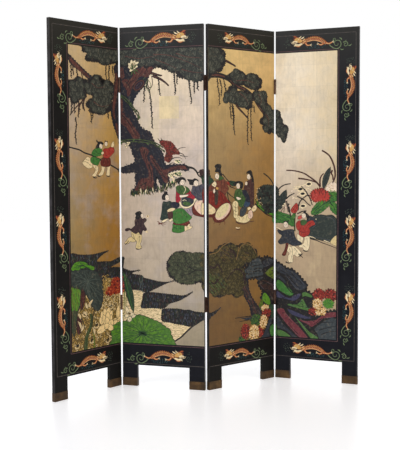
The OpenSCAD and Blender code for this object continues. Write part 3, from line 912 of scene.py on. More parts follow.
# %% The tree on panels 1 and 2: trunk, roots and limbs
TRUNK = """-26,1640 60,1650 184,1632 169,1608 150,1572 130,1536 106,1510 81,1479 69,1443 71,1401 86,1378
    96,1354 106,1335 126,1316 155,1306 170,1289 170,1273 184,1254 197,1231 219,1207 231,1179 234,1152
    245,1134 269,1137 314,1138 349,1136 366,1119 357,1107 322,1112 296,1111 255,1096 257,1078 260,1055
    253,1030 220,1034 206,1050 198,1082 190,1081 190,1054 195,1020 175,1013 146,1006 106,997 77,984 49,990
    72,1017 86,1040 80,1054 75,1077 86,1096 72,1102 36,1096 4,1100 -8,1112 0,1124 30,1132 70,1147 78,1161
    76,1178 63,1193 61,1217 49,1233 27,1253 -1,1267 -24,1311 -38,1345 -49,1378 -53,1412 -41,1455 -38,1497
    -30,1549 -21,1583"""
BARE_PATCHES = ((2, """145,1637 174,1639 182,1630 169,1608 148,1579 126,1585 106,1584 86,1562 76,1544
        62,1522 53,1499 47,1484 39,1490 42,1513 27,1533 17,1552 11,1568 27,1570 47,1564 66,1577 76,1590
        62,1605 76,1617 106,1620 125,1628"""),
    (2, "2,1677 13,1672 10,1640 18,1612 23,1584 15,1574 4,1580 2,1622"),
    (2, "2,1478 12,1459 11,1436 15,1413 2,1412"),
    (2, """2,1404 17,1399 27,1380 47,1370 57,1351 71,1332 86,1308 99,1294 101,1275 86,1270 67,1277 59,1295
        42,1315 32,1333 14,1343 2,1358"""),
    (2, """106,1222 121,1226 140,1221 150,1209 145,1191 137,1182 146,1159 161,1135 171,1112 170,1080
        176,1052 170,1025 150,1016 126,1016 106,1012 86,1007 77,1012 91,1031 99,1054 116,1067 141,1067
        153,1076 153,1103 143,1131 129,1159 116,1187 110,1206"""),
    (2, """163,1190 176,1172 190,1148 205,1130 220,1115 238,1110 262,1119 286,1128 313,1131 345,1128
        345,1119 313,1116 282,1114 254,1103 248,1087 253,1064 248,1046 238,1051 224,1074 209,1097 193,1121
        175,1144 161,1168"""),
    (1, "420,1600 434,1580 430,1520 420,1460 408,1410 414,1370 402,1390 400,1440 412,1500"),
    (1, "418,1350 436,1330 436,1290 426,1310"))
bark("tree_trunk", at(2, TRUNK), [at(index, patch) for index, patch in BARE_PATCHES], 3)
for points in ("30,1560 48,1540 56,1512", "90,1608 112,1596", "140,1628 150,1600",
        "12,1390 50,1346 84,1286", "128,1216 126,1192", "150,1140 164,1096 164,1040", "140,1050 104,1030",
        "172,1166 205,1118 238,1076"):
    stroke("tree_trunk", "ink", at(2, points), 6, 7, 2.5)
stroke("vines", "ink", at(2, "152,1584 147,1552 156,1527 169,1527 175,1552 170,1584"), 3.5, 4, 3.5)
KNOT = at(2, "102,1538")[0]
lay("tree_trunk", "bark", oval(KNOT, 68, 40, 39), 8, edge=5)
lay("tree_trunk", "knot", oval(KNOT, 48, 21, 39), 9, edge=4)
lay("tree_trunk", "ink", oval(KNOT, 30, 7, 39), 10)
branch(at(2, "160,1600 198,1588 226,1582"), 14, 5)
branch(at(2, "176,1584 216,1566 240,1550 262,1530"), 13, 5)
bark("tree_trunk", at(1, """112,1673 134,1654 159,1637 179,1624 204,1607 229,1590 260,1573 275,1559
    249,1553 224,1567 199,1584 174,1600 149,1610 129,1626 112,1644"""),
    [at(1, "116,1660 139,1642 169,1623 199,1601 229,1581 247,1566 229,1571 194,1591 159,1611 129,1634")],
    3)
branch(at(1, "150,1636 140,1606 146,1570"), 8, 4)
branch(at(1, "205,1600 196,1580 204,1556"), 7, 4)
branch(at(3, "-30,1590 0,1580 63,1582 116,1572 160,1549"), 30, 20)
branch(at(3, "100,1660 138,1648 178,1632"), 13, 6)
branch(at(3, "180,1440 200,1420 227,1399 262,1372"), 12, 6)
branch(at(3, "150,1552 193,1532 240,1518 290,1488 330,1440 380,1390"), 22, 12)

# %% Two squares of leaf laid later
SQUARE_W, SQUARE_H = 104, 112
for colour, left, low in (("late_leaf", 209, 1368), ("faint_leaf", 104, 1262)):
    right, high = left + SQUARE_W, low + SQUARE_H
    lay("late_leaf", colour, at(2, [(left, low), (right, low), (right, high), (left, high)]), -2)

# %% Needle pads on panels 1 to 4
BROAD_PADS = (2, 3)
CLUMP_TUFT_MM = (31, 22)
PADS = ((1, """190,1730 199,1716 210,1705 201,1694 224,1693 240,1686 234,1675 223,1661 227,1651 244,1652
        270,1651 290,1652 311,1649 332,1643 359,1642 385,1648 418,1655 438,1652 452,1640 452,1730"""),
    (1, """112,1536 129,1543 149,1546 159,1556 174,1562 185,1558 199,1553 219,1551 244,1550 269,1560
        266,1570 278,1577 301,1579 319,1574 328,1559 326,1541 338,1536 349,1548 369,1555 390,1550 400,1539
        396,1521 393,1493 397,1478 386,1465 390,1442 383,1422 375,1409 359,1405 338,1396 311,1393 280,1398
        249,1400 243,1408 255,1419 229,1426 223,1434 234,1446 245,1458 265,1462 273,1475 261,1485 244,1491
        230,1494 219,1499 215,1486 222,1475 209,1466 184,1463 169,1449 154,1441 132,1441 126,1455 129,1466
        112,1469"""),
    (2, """-10,1730 -10,1642 54,1648 100,1640 180,1630 215,1628 240,1622 277,1604 299,1595 321,1577
        348,1563 374,1566 409,1560 450,1556 450,1730"""),
    (3, "-10,1730 -10,1600 10,1596 58,1598 89,1612 111,1655 105,1679 95,1703 63,1730"),
    (3, """109,1576 130,1582 147,1595 166,1601 177,1615 196,1612 205,1607 220,1605 237,1592 246,1578
        237,1559 225,1547 207,1544 177,1547 147,1564 123,1570"""),
    (3, """231,1570 246,1586 267,1593 281,1601 303,1596 320,1595 330,1581 349,1575 351,1560 343,1550
        348,1538 334,1533 320,1520 302,1524 280,1528 255,1534 234,1545"""),
    (3, """100,1467 113,1476 103,1489 118,1499 131,1510 135,1524 153,1530 172,1534 184,1525 180,1511
        196,1502 201,1488 183,1456 174,1445 153,1455 131,1461 118,1453 102,1454"""),
    (3, """196,1502 213,1508 231,1504 246,1513 268,1505 274,1493 291,1487 286,1468 282,1449 285,1433
        268,1430 253,1422 234,1432 213,1433 192,1443 174,1448 183,1465 189,1483"""),
    (3, """292,1498 306,1511 330,1512 343,1508 364,1514 379,1501 388,1488 380,1476 388,1464 371,1459
        355,1461 336,1455 317,1464 299,1471 286,1482"""),
    (3, """311,1464 336,1458 361,1461 374,1457 393,1451 399,1438 417,1432 422,1415 439,1406 443,1368
        400,1367 374,1391 387,1410 361,1428 336,1446"""),
    (3, """374,1409 400,1415 460,1411 460,1313 423,1313 408,1299 394,1308 372,1317 361,1331 371,1341
        343,1355 348,1371 365,1379 368,1395"""),
    (4, """-20,1366 10,1372 26,1366 36,1352 34,1342 41,1329 57,1322 66,1306 60,1287 58,1270 46,1236
        32,1262 22,1270 9,1287 -20,1300"""))
for number, (index, outline) in enumerate(PADS):
    if number in BROAD_PADS:
        needles(at(index, outline))
    else:
        needles(at(index, outline), level=6 + 0.1 * number, tuft=CLUMP_TUFT_MM, lobe=0, inset=0.36)
lay("tree_needles", "needle", blade(*at(4, "34,1296 46,1238"), 24), 12, edge=2)
TWIGS = ((2, "180,1690 260,1682 350,1650 430,1612"), (2, "190,1664 250,1640 300,1616"),
    (2, "30,1686 110,1672 200,1684"), (2, "300,1690 360,1670 436,1662"),
    (2, "330,1610 380,1596 440,1590"), (3, "180,1560 240,1566 300,1556"),
    (3, "200,1500 236,1480 262,1450"), (3, "330,1500 350,1470 340,1440"),
    (1, "260,1540 300,1520 350,1530"), (1, "270,1450 320,1430 380,1440"),
    (3, "380,1400 400,1370 396,1330"))
for index, points in TWIGS:
    stroke("tree_needles", "bark", at(index, points), 4, 17, 1.5)

# %% Vines, twigs and climbing strings
VINES = ((1, "153,1369 158,1328 150,1288 156,1239"), (1, "126,1449 130,1420 124,1380"),
    (1, "150,1450 144,1420 150,1390"), (1, "172,1446 178,1410 168,1372"), (1, "196,1446 202,1410"),
    (1, "250,1400 256,1344"), (1, "266,1398 264,1366"), (1, "358,1644 354,1600 362,1556"),
    (1, "378,1640 374,1590 380,1550"), (1, "399,1633 405,1585"), (1, "364,1400 370,1370"),
    (1, "387,1400 405,1372"), (1, "126,1640 130,1600 126,1560"), (1, "164,1610 169,1560"),
    (2, "153,1565 144,1528 158,1512 167,1442 170,1375 173,1320"), (2, "131,1540 129,1453"),
    (2, "207,1570 214,1486"), (2, "291,1590 293,1537 295,1487"), (2, "306,1580 302,1540"),
    (2, "363,1566 370,1516 381,1441"), (2, "391,1560 396,1490"), (2, "409,1560 411,1506"),
    (3, "58,1570 63,1512 70,1480 70,1433"), (3, "76,1560 86,1520 84,1480"),
    (3, "100,1563 106,1530 112,1500"), (3, "149,1456 158,1400 164,1350 168,1288"),
    (3, "140,1450 144,1370"), (3, "156,1430 164,1400 162,1340"), (3, "262,1426 256,1340 258,1240"),
    (3, "276,1420 279,1340 283,1260"), (3, "300,1440 304,1404"))
for index, points in VINES:
    vine(at(index, points), 2.8 if index == 3 else 4)
for points in ("206,1466 190,1440 160,1420 122,1382", "214,1470 204,1430 214,1400",
        "186,1440 172,1410 176,1384"):
    branch(at(1, points), 8, 3, 4, "vines")
for points in ("140,1580 120,1560 112,1520", "150,1566 140,1540 146,1516 160,1512 166,1540 156,1560"):
    stroke("vines", "moss", at(2, points), 3, 5, 2)
for points in ("-4,1254 54,1256 108,1256 180,1240 225,1213", "-1,1488 36,1457 72,1413 95,1387 92,1362"):
    for offset in (0, 9):
        strand = [(u + offset * 0.5, z + offset + rng.uniform(-3, 3)) for u, z in at(2, points)]
        stroke("vines", "ink", strand, 7, 9.5, 6)
        stroke("vines", "moss", strand, 3.4, 10, 2.6)
    for k, (u, z) in enumerate(evenly(smooth(at(2, points), closed=False), 24, closed=False)):
        lay("vines", "stem_green" if k % 3 else "moss",
            blade((u, z), (u + 12, z + (12 if k % 2 else -13)), 8, 0.1), 11, edge=1)
for tip in trace("46,1652 64,1668 84,1664 103,1655 98,1632 54,1608 44,1632 80,1612"):
    lay("leaves", "cream", blade(*at(2, [(70, 1632), tip]), 16, 0.06), 17, edge=1.4)
for start, tip in (((74, 1622), (66, 1650)), ((76, 1624), (94, 1644)), ((72, 1620), (56, 1630)),
        ((72, 1618), (98, 1606)), ((70, 1612), (84, 1592)), ((66, 1612), (60, 1590))):
    lay("leaves", "moss", blade(*at(2, [start, tip]), 7, 0.1), 18, edge=1)
for u, z in spots(at(2, "20,1250 50,1254 50,1226 20,1224"), 14, 11):
    lay("leaves", "cream", oval((u, z), 11, 8, 30, 8), 12, edge=1)
print("strokes so far:", sum(map(len, LAID.values())))

# %% [markdown]
# ## Banks, water and rocks
# Stone and earth are cut as black masses. The painter scratches short strokes of dull colour into a
# bank, lays flat seams of colour into a rock and draws lines round them where its face turns. Water is
# rows of small waves on a cream patch, or small curls on a dull gold one.

# %% Banks, rocks and ripples
BANK_FLECKS = ("blue_grey", "slate", "blue_grey", "teal_robe", "brown_robe", "leaf_dark")


def bank(outline, level, step=(8.5, 17)):
    """A steep bank: black, with short upright strokes."""
    outline = smooth(outline, 3)
    lay("banks", "ink", scalloped(outline, 11, 0.24), level)
    for u, z in spots(grown(outline, -3), *step, jitter=0.25):
        wave = [(u + rng.uniform(-1.5, 1.5), z + k * step[1] * 0.2 - step[1] * 0.4) for k in range(5)]
        lay("banks", rng.choice(BANK_FLECKS), ribbon(wave, 2.6, 1.4), level + 1)


def stone(index, colour, points, level, shares=(0.66, 0.34), line="ink", wide=4):
    """A seam or a face of a rock, with broken lines inside that follow its edge."""
    outline = smooth(at(index, points), 2)
    lay("rocks", colour, outline, level, edge=3.4)
    rings("rocks", outline, middle(outline), (0.84,), "swirl", 1.6, level + 0.4)
    rings("rocks", outline, middle(outline), shares, line, wide, level + 0.8)


def ripples(outline, colour, level, step=(30, 11), wide=2.0):
    """Rows of small waves inside an outline."""
    for u, z in spots(outline, *step):
        wave = [(u + k * step[0] * 0.18 - step[0] * 0.45, z + 2.4 * math.sin(k * 1.6)) for k in range(6)]
        lay("water", colour, ribbon(wave, wide, 0.8), level)


def curls(outline, colour, level, step, size):
    """Small open curls scattered inside an outline."""
    for place in spots(outline, *step):
        hook = spiral(place, size * rng.uniform(0.7, 1.2), rng.uniform(0, 360), 0.7, 0.6, 7)
        lay("water", colour, ribbon(hook, size * 0.38, size * 0.2), level)


def lines(piece, index, colour, wide, level, *paths, taper=0.4):
    """Brush lines on one panel, each thinning to its end."""
    for path in paths:
        stroke(piece, colour, at(index, path), wide, level, wide * taper)


# %% Slopes, banks and water of panels 1 and 2
lines("banks", 1, "ink", 7, 1,
    "104,1226 140,1219 175,1212 208,1198 252,1187 300,1168 340,1154 377,1139 412,1124 448,1106",
    taper=1.1)
POND = at(1, "104,600 450,590 450,210 104,210")
lay("water", "pond_gold", POND, 0.4)
curls(POND, "earth", 1.2, (24, 19), 8)
curls(POND, "water", 2, (21, 16), 8)
curls(POND, "water_cream", 2.4, (40, 30), 8)
for place in trace("145,252 197,405 349,252 272,338 372,421 372,279 241,266 300,430 392,300"):
    lay("water", "ink", oval(at(1, [place])[0], 20, 12, 25), 3)
    lay("water", "water_cream", ribbon(spiral(at(1, [place])[0], 16, 200, 0.6, 0.8), 5, 2), 3)
bank(at(1, """104,703 160,700 230,694 290,697 362,706 330,694 310,684 276,657 340,652 377,650 448,668
    448,646 405,632 368,618 405,618 448,608 448,570 396,560 350,570 310,540 250,560 200,560 150,560
    104,580"""), 4)
bank(at(2, """-10,604 3,610 47,596 107,603 60,590 52,581 90,577 115,573 118,563 156,555 199,546 253,545
    295,559 253,542 220,528 183,510 145,491 126,488 104,498 52,500 -10,497"""), 4)
bank(at(2, """115,478 129,486 161,489 199,487 242,484 285,481 327,478 354,487 383,502 359,482 338,469
    306,451 258,436 237,416 213,408 161,409 103,407 110,445"""), 4)
bank(at(2, """221,406 263,409 306,410 338,404 359,408 391,399 448,394 448,366 412,348 380,331 367,322
    327,329 285,333 253,340 215,344 215,385"""), 4)
lines("banks", 2, "ink", 9, 3, "443,370 407,344 380,326 359,307 338,287 317,266 274,236 262,222",
    taper=0.8)
WATERS = (at(2, "-10,500 52,498 112,493 115,481 102,408 213,408 215,340 161,330 36,330 -10,330"),
    at(2, "215,342 285,333 367,328 367,313 322,271 280,236 250,270 240,300 221,329"))
for outline in WATERS:
    lay("water", "water_cream", outline, 1)
    ripples(outline, "water_line", 1.6, step=(30, 9.5), wide=1.8)
    ripples(outline, "earth", 2.2, step=(44, 19), wide=1.6)
bank(at(3, "-8,396 1,391 34,398 78,415 55,400 39,386 1,371 -8,370"), 3)

# %% Slopes and bushes of panels 3 and 4
SLOPE = "309,959 334,935 368,913 390,904 402,916 428,928 452,935 452,856 428,868 394,880 360,898 326,922"
BUSH = """323,976 326,1004 347,1019 379,1028 417,1023 452,1008 452,898 407,888 380,885 369,910 348,927
    332,948"""
lay("banks", "bright_leaf", smooth(at(3, SLOPE), 4), 2, edge=2)
lines("banks", 3, "leaf_dark", 5, 3, "312,948 345,916 380,892", "350,916 380,896 420,880",
    "400,908 424,896 448,880")
lines("banks", 3, "ink", 9, 4, "306,934 330,914 351,900 372,884 394,872 424,862 450,852")
lay("leaves", "bush", scalloped(smooth(at(3, BUSH), 4), 13, 0.4), 4, edge=2)
for place in spots(smooth(at(3, BUSH), 4), 15, 12):
    lay("leaves", rng.choice(("lotus_dark", "bush", "ink")), scalloped(oval(place, 15, 11), 5, 0.4),
        5 + rng.random())
for u, z in at(3, """336,1014 326,996 321,976 337,959 332,944 353,933 313,960 324,948 318,1008 308,977
        348,941 340,927"""):
    lay("leaves", "earth", ribbon([(u - 8, z - 3), (u, z), (u + 10, z + 2)], 2.4, 1), 5.2)
    for _ in range(3):
        lay("leaves", rng.choice(("gold", "cream")),
            oval((u + rng.uniform(-9, 9), z + rng.uniform(-6, 6)), 5, 3.6, 30, 8), 6.5)
lines("leaves", 3, "ink", 7, 6, "365,1091 395,1074 422,1050 440,1021", taper=1)
lines("banks", 4, "ink", 6, 4, "176,737 200,728 224,722 250,712 278,703 310,692 336,683")
lay("leaves", "leaf_green",
    scalloped(smooth(at(4, "-8,872 6,869 50,857 86,846 102,823 98,793 66,808 30,812 -8,816"), 4), 9, 0.3),
    2, edge=2)
for start, tip in (((10, 846), (60, 824)), ((40, 850), (90, 832)), ((8, 862), (44, 846)),
        ((60, 840), (96, 806)), ((14, 828), (50, 816))):
    lines("leaves", 4, "leaf_dark", 4, 3, (start, ((start[0] + tip[0]) / 2, start[1] - 4), tip))

# %% Scholar's rocks: black masses with coloured seams
ROCK_3 = """212,597 235,601 251,612 261,629 266,650 298,652 330,657 351,645 384,654 411,647 444,634
    450,630 450,205 338,205 360,240 380,275 396,300 408,330 396,376 413,382 391,390 358,416 346,426
    352,458 363,471 339,492 325,514 325,532 352,534 336,547 304,544 272,546 251,539 236,555 215,561"""
ROCK_4 = """-10,612 7,605 39,593 52,577 99,566 108,554 133,538 154,511 171,499 174,475 160,462 184,456
    207,440 216,412 202,376 190,340 223,325 260,355 300,362 345,368 345,203 -10,203"""
for outline in (at(3, ROCK_3), at(4, ROCK_4)):
    lay("rocks", "ink", scalloped(outline, 20, 0.45), 4)
STONES = ((3, "stone_blue", """223,591 241,594 259,607 269,622 274,643 303,645 330,648 345,639 352,621
        364,598 352,584 364,567 356,556 325,554 299,554 267,551 251,548 238,560 224,566"""),
    (3, "slate", "357,625 378,636 405,642 430,633 437,624 411,608 389,601 365,597 352,609"),
    (3, "slate", "315,541 336,547 357,549 365,544 352,538 331,534"),
    (3, "stone_olive", "379,566 390,577 411,589 440,597 442,556 439,531 420,539 398,550"),
    (3, "stone_brown", """333,517 349,527 374,529 406,517 438,498 441,465 445,436 443,415 432,417 421,434
        404,453 385,469 363,483 344,498"""),
    (3, "leaf_bright", "363,457 374,462 390,450 407,428 413,402 402,395 380,406 363,420 355,429 358,445"),
    (3, "leaf_dark", "404,392 442,388 442,330 418,330 408,360"),
    (3, "slate", "403,318 430,318 412,290 400,260 410,214 348,214 372,252 390,284"),
    (3, "leaf_green", "414,280 444,284 445,218 428,216 410,248"),
    (4, "slate",
        "6,596 36,586 50,570 92,560 126,536 150,506 166,492 166,476 150,466 117,462 84,500 50,540 8,556"),
    (4, "slate", "8,538 36,526 58,500 50,494 30,514 8,520"),
    (4, "leaf_green", "8,508 40,504 62,481 100,444 79,430 41,446 8,468"),
    (4, "stone_violet", "8,452 41,431 79,417 109,434 138,446 132,426 105,406 75,409 41,416 9,420"),
    (4, "stone_green", "146,446 167,453 200,436 195,427 163,434 150,428"),
    (4, "stone_green", "146,418 158,406 178,372 198,370 180,358 130,368 70,380 76,388 120,388 138,406"),
    (4, "stone_violet", "66,366 114,350 164,334 210,324 164,316 114,326 80,341"),
    (4, "stone_rose", "13,360 44,361 57,340 95,303 138,264 184,208 146,206 88,258 45,302 13,341"),
    (4, "stone_rose",
        "122,312 164,304 225,314 262,347 331,359 331,336 268,325 239,305 200,276 182,286 152,298"),
    (4, "stone_green", "108,324 148,287 186,249 230,226 230,207 205,207 167,250 137,285"),
    (4, "stone_blue", "214,266 244,293 277,316 331,324 332,210 250,207 230,243"),
    (4, "slate", "11,322 42,284 85,245 136,205 104,203 70,243 28,257 11,268"),
    (4, "stone_green", "13,250 54,240 92,209 40,208 12,222"))
for number, (index, colour, points) in enumerate(STONES):
    stone(index, colour, points, 5 + 0.4 * (number % 3))
lines("rocks", 4, "ink", 8, 8, "10,520 46,496 84,452 112,446", "60,540 100,500 136,470",
    "70,404 120,398 150,440", "-4,374 60,366 110,352 170,330 214,322")
lines("rocks", 4, "ink", 5, 8, "240,262 280,276 330,288", "250,240 290,256 332,262",
    "226,296 270,304 320,308", "30,560 70,540 110,500", "90,546 120,516 150,490",
    "160,424 176,400 200,392")
lines("rocks", 3, "ink", 7, 8, "282,606 309,611 352,613", "298,591 325,596 354,592",
    "291,578 325,582 354,577", "241,574 272,569 304,569", "274,640 282,625 272,612",
    "349,638 357,621 379,602", "352,507 371,515 393,503 396,486 379,492", "357,523 390,511 423,488",
    "379,480 407,469 434,433", "422,578 436,569 422,558 406,555")

# %% Round pines of panels 2 and 3
CROWN_TUFT_MM = (32, 19)
needles(at(2, """250,600 246,640 262,672 290,694 330,702 370,690 410,694 450,690 450,560 420,556 380,544
    340,538 304,546 268,570"""), "round_pines", 6, "crown_green", "crown_leaf", CROWN_TUFT_MM)
lines("round_pines", 2, "ink", 5, 22, "448,612 400,610 350,628 310,650", "400,612 360,590 320,580",
    "370,620 350,650 340,676")
needles(at(3, """-10,689 28,695 58,716 98,733 138,738 168,728 180,702 191,720 215,724 241,728 272,720
    304,694 330,659 304,649 267,648 246,622 215,597 241,550 252,521 231,491 221,468 180,457 149,464
    144,484 108,484 88,471 53,470 19,490
    -10,531"""), "round_pines", 6, "crown", "crown_line", CROWN_TUFT_MM)
lines("round_pines", 3, "crown_rim", 4, 22, "192,716 190,694 185,670 177,648",
    "4,690 26,692 55,698 84,724 126,741 146,742 176,727", "192,694 216,722 253,728 288,710 314,674",
    taper=0.8)
for outline in ("67,701 132,720 164,693 156,650 96,643", "230,640 262,660 250,690 210,676"):
    ridges("round_pines", at(3, outline), ("bark_dark", "pine_bark", "earth"), 21, (20, 13), 7)
ridges("round_pines", at(3, "9,586 49,592 84,574 114,548 96,504 61,479 14,494"),
    ("moss", "lotus_dark", "moss"), 21, (22, 14), 6)
for colour, wide, level in (("ink", 13, 22), ("bark_dark", 6, 22.6)):
    lines("round_pines", 3, colour, wide, level, "237,520 231,566 206,594 176,602 144,583 114,553",
        "3,628 32,620 55,634 72,612 86,590", "176,664 160,694 130,713", "60,560 34,540 10,548")
lay("pine_trunk", "slate", at(3, "206,344 283,343 300,336 292,331 242,331"), 7)
lines("pine_trunk", 3, "ink", 7, 8, "296,348 262,348 222,349 169,348", "310,338 286,332 242,329 199,328")
PINE = at(3, """205,518 214,542 236,548 257,539 261,500 274,463 298,427 330,390 356,358 340,346 312,342
    279,350 273,388 257,420 235,451 220,486""")
bark("pine_trunk", PINE, [], 8)
PINE_FACE = at(3, """214,518 222,534 244,528 252,500 264,462 288,424 320,384 340,360 300,358 286,386
    268,420 246,452 230,484""")
lay("pine_trunk", "pine_bark", scalloped(smooth(PINE_FACE, 4), 13, 0.4), 9)
ridges("pine_trunk", PINE_FACE, ("ink", "bark_ridge", "slate", "ink"), 10, (18, 10), 4.5)

# %% [markdown]
# ## Lotus, peonies and grasses
# Lotus leaves are drawn as a disc with veins to a ruffled edge, and lotus flowers as broad petals laid
# one above the other, each edged in a darker colour. Crowded blossom is a mass of small petals over a
# darker ground. Grass and orchid leaves are single bowed blades.

# %% Leaves and flowers


def lotus_leaf(index, outline, heart, level, face="leaf_green", vein="leaf_dark", veins=16, ruffle=24,
        mottle=None):
    """A round leaf: a disc with a ruffled edge and forked veins from its heart."""
    outline, heart = smooth(at(index, outline), 4), at(index, [heart])[0]
    lay("lotus", face, scalloped(outline, ruffle, 0.16), level, edge=3)
    for place in spots(grown(outline, -12), 34, 19) if mottle else ():
        tilt = math.degrees(math.atan2(place[1] - heart[1], place[0] - heart[0]))
        lay("lotus", mottle,
            scalloped(oval(place, rng.uniform(16, 34), rng.uniform(7, 13), tilt), 7, 0.4), level + 0.4)
    round_it = sum(math.dist(a, b) for a, b in zip(outline, outline[1:]))
    ends = evenly(outline, round_it / veins)
    for k, end in enumerate(ends):
        tip = tuple(heart[n] + (end[n] - heart[n]) * 0.93 for n in (0, 1))
        mid = tuple(heart[n] + (end[n] - heart[n]) * 0.5 + rng.uniform(-4, 4) for n in (0, 1))
        lay("lotus", vein, ribbon(smooth([heart, mid, tip], 4, closed=False), 3.4, 1.2), level + 0.8)
        fork = tuple(mid[n] + (ends[k - 1][n] - mid[n]) * 0.6 for n in (0, 1))
        lay("lotus", vein, ribbon([mid, fork], 2, 0.8), level + 0.8)


def leaf(index, start, tip, wide, colour="leaf_green", bend=0.08, level=5, vein="leaf_dark",
        piece="leaves", edge=1.6):
    """A single leaf with its midrib, and side veins where it is broad."""
    start, tip = at(index, [start, tip])
    lay(piece, colour, blade(start, tip, wide, bend), level + 1, edge)
    spine = blade(start, tip, 0.01, bend)[:9]
    sides = blade(start, tip, wide * 0.84, bend)
    lay(piece, vein, ribbon(spine[1:], 2.2, 0.9), level + 1.5)
    for k in (2, 4, 6) if wide > 28 else ():
        for side in (sides[k + 2], sides[-k - 2]):
            lay(piece, vein, ribbon([spine[k], side], 1.6, 0.8), level + 1.5)


BRIGHTER = {"lotus_orange": "orange", "red": "rose", "cream": "peony", "leaf_bright": "bright_leaf",
    "leaf_green": "leaf_bright", "blossom_green": "leaf_bright"}


def blossom(index, centre, wide, tall, deep, petal, level=9, size=8, tilt=0):
    """A mass of small petals of one colour over a deeper one."""
    outline = oval(at(index, [centre])[0], wide, tall, tilt)
    lay("flowers", deep, scalloped(outline, 13, 0.6), level)
    for place in spots(grown(outline, size * 0.3), size * 1.15, size * 0.8):
        tone = rng.choice((petal, petal, petal, petal, "ink", BRIGHTER[petal]))
        shape = oval(place, size * rng.uniform(0.6, 1.1), size * 0.6, rng.uniform(-50, 50), 8)
        lay("flowers", tone, shape, level + 0.6 + 0.4 * rng.random())


def petals(index, shapes, petal, line, level, piece="lotus"):
    """Broad petals, each with a centre, a width, a height and a tilt, laid one above the other."""
    for number, (centre, wide, tall, tilt) in enumerate(shapes):
        u, z = at(index, [centre])[0]
        long = 0.56 * max(wide, tall)
        way = math.radians(tilt + 90 * (tall > wide))
        ends = [(u + side * long * math.cos(way), z + side * long * math.sin(way)) for side in (-1, 1)]
        shape = blade(*ends, min(wide, tall))
        lay(piece, line, grown(shape, 2.2), level + 0.8 * number)
        lay(piece, petal, shape, level + 0.8 * number + 0.4)
        lay(piece, line, ribbon([ends[0], (u, z)], 2.4, 0.8), level + 0.8 * number + 0.6)


# %% The lotus pond of panels 1 and 2
lotus_leaf(1, """104,623 150,624 197,622 240,614 276,604 294,579 313,547 319,520 317,499 316,470 308,440
    285,408 254,427 236,456 223,480 197,513 167,536
    104,549""", (214, 566), 6, "lotus_dark", "lotus_line", mottle="bush")
LEAN_LEAF = at(1, "98,540 140,536 172,527 174,485 162,441 148,408 139,364 134,316 125,303 116,322 98,330")
lay("lotus", "crown_green", smooth(LEAN_LEAF, 4), 6, edge=3)
lay("lotus", "leaf_bright",
    scalloped(smooth(at(1, "98,536 140,532 168,522 170,486 156,446 142,424 128,436 98,430"), 4), 12, 0.3),
    7)
ridges("lotus", LEAN_LEAF, ("moss", "earth", "leaf_dark"), 8, (14, 13), 3.2)
for outline in ("176,527 199,503 194,455 176,425 166,458", "148,391 171,377 176,331 157,305 143,335"):
    lay("lotus", "maroon", smooth(at(1, outline), 4), 7.6, edge=1.6)
    ridges("lotus", at(1, outline), ("dark_red", "ink"), 8, (12, 14), 3)
lotus_leaf(1, """112,636 122,646 132,658 154,664 184,663 206,656 220,644 240,638 258,632 262,620 246,618
    226,628 206,637 190,630 172,636 156,622 138,632
    124,624""", (186, 646), 8, "bright_leaf", "leaf_dark", veins=12, ruffle=14)
lines("lotus", 1, "lotus_line", 4, 8, "120,700 122,680", "228,690 232,664 230,640", "150,690 152,674")
lotus_leaf(2, """-70,300 -54,326 -19,331 3,326 20,332 36,343 63,361 91,368 123,363 161,348 199,336 221,319
    242,307 262,296 259,280 269,259 282,238 264,212 -60,210
    -58,250""", (110, 275), 7, "pond_leaf", "leaf_dark", veins=26, mottle="leaf_bright")
HEART, RIB_REACH, RIB_DEGREES = (110, 275), (62, 44), 24
for angle in range(0, 360, RIB_DEGREES):
    reach = (RIB_REACH[0] * math.cos(math.radians(angle)), RIB_REACH[1] * math.sin(math.radians(angle)))
    rib = [(HEART[0] + reach[0] * share, HEART[1] + reach[1] * share) for share in (0.4, 0.7, 1)]
    lines("lotus", 2, "leaf_bright", 3, 8, rib)
lines("lotus", 1, "stem_green", 28, 8, "196,206 199,236 202,262 207,288 220,312 236,338 241,366 236,400",
    taper=0.55)
lines("lotus", 1, "moss", 4, 9, "194,214 200,280 226,338 236,396", "206,220 214,294 234,346")
lines("lotus", 1, "ink", 6, 9, "157,408 171,387 185,361 196,334 199,318",
    "260,416 253,394 248,369 241,346")
lines("lotus", 1, "stone_olive", 10, 7, "255,210 255,240 255,269 252,305 250,330")
for start, tip in (((218, 426), (204, 460)), ((236, 428), (226, 458)), ((186, 414), (206, 396)),
        ((150, 410), (168, 380)), ((150, 372), (170, 330)), ((184, 352), (168, 318)),
        ((246, 330), (258, 290)), ((228, 440), (250, 468))):
    leaf(1, start, tip, 12, "water_cream", 0.12, 9, "water_line", "lotus", edge=1)
GOLD_LOTUS = (((313, 375), 26, 52, 10),
    ((331, 390), 28, 44, 12),
    ((354, 394), 30, 40, -10),
    ((370, 376), 24, 44, -22),
    ((304, 352), 24, 42, 24),
    ((326, 356), 26, 50, 14),
    ((364, 354), 28, 48, -24),
    ((349, 366), 30, 52, 0),
    ((345, 344), 30, 46, 10),
    ((368, 330), 34, 44, -34),
    ((366, 312), 42, 32, -30),
    ((308, 312), 70, 38, 24),
    ((340, 322), 30, 30, 30))
petals(1, GOLD_LOTUS, "lotus_gold", "earth", 9)
petals(1, (((408, 344), 40, 20, -20), ((398, 334), 36, 18, 24), ((424, 350), 34, 18, 10),
    ((420, 384), 24, 62, -8)), "lotus_gold", "earth", 9)
for centre, wide, tall, tilt in (((366, 500), 60, 40, 12), ((408, 522), 66, 84, 0),
        ((436, 520), 40, 80, 0), ((390, 506), 50, 44, 0)):
    blossom(1, centre, wide, tall, "lotus_red", "lotus_orange", 7 + wide % 3, size=11, tilt=tilt)
for centre, wide, tall in (((10, 548), 22, 40), ((6, 520), 26, 40)):
    blossom(2, centre, wide, tall, "dark_red", "red", 9, size=10)
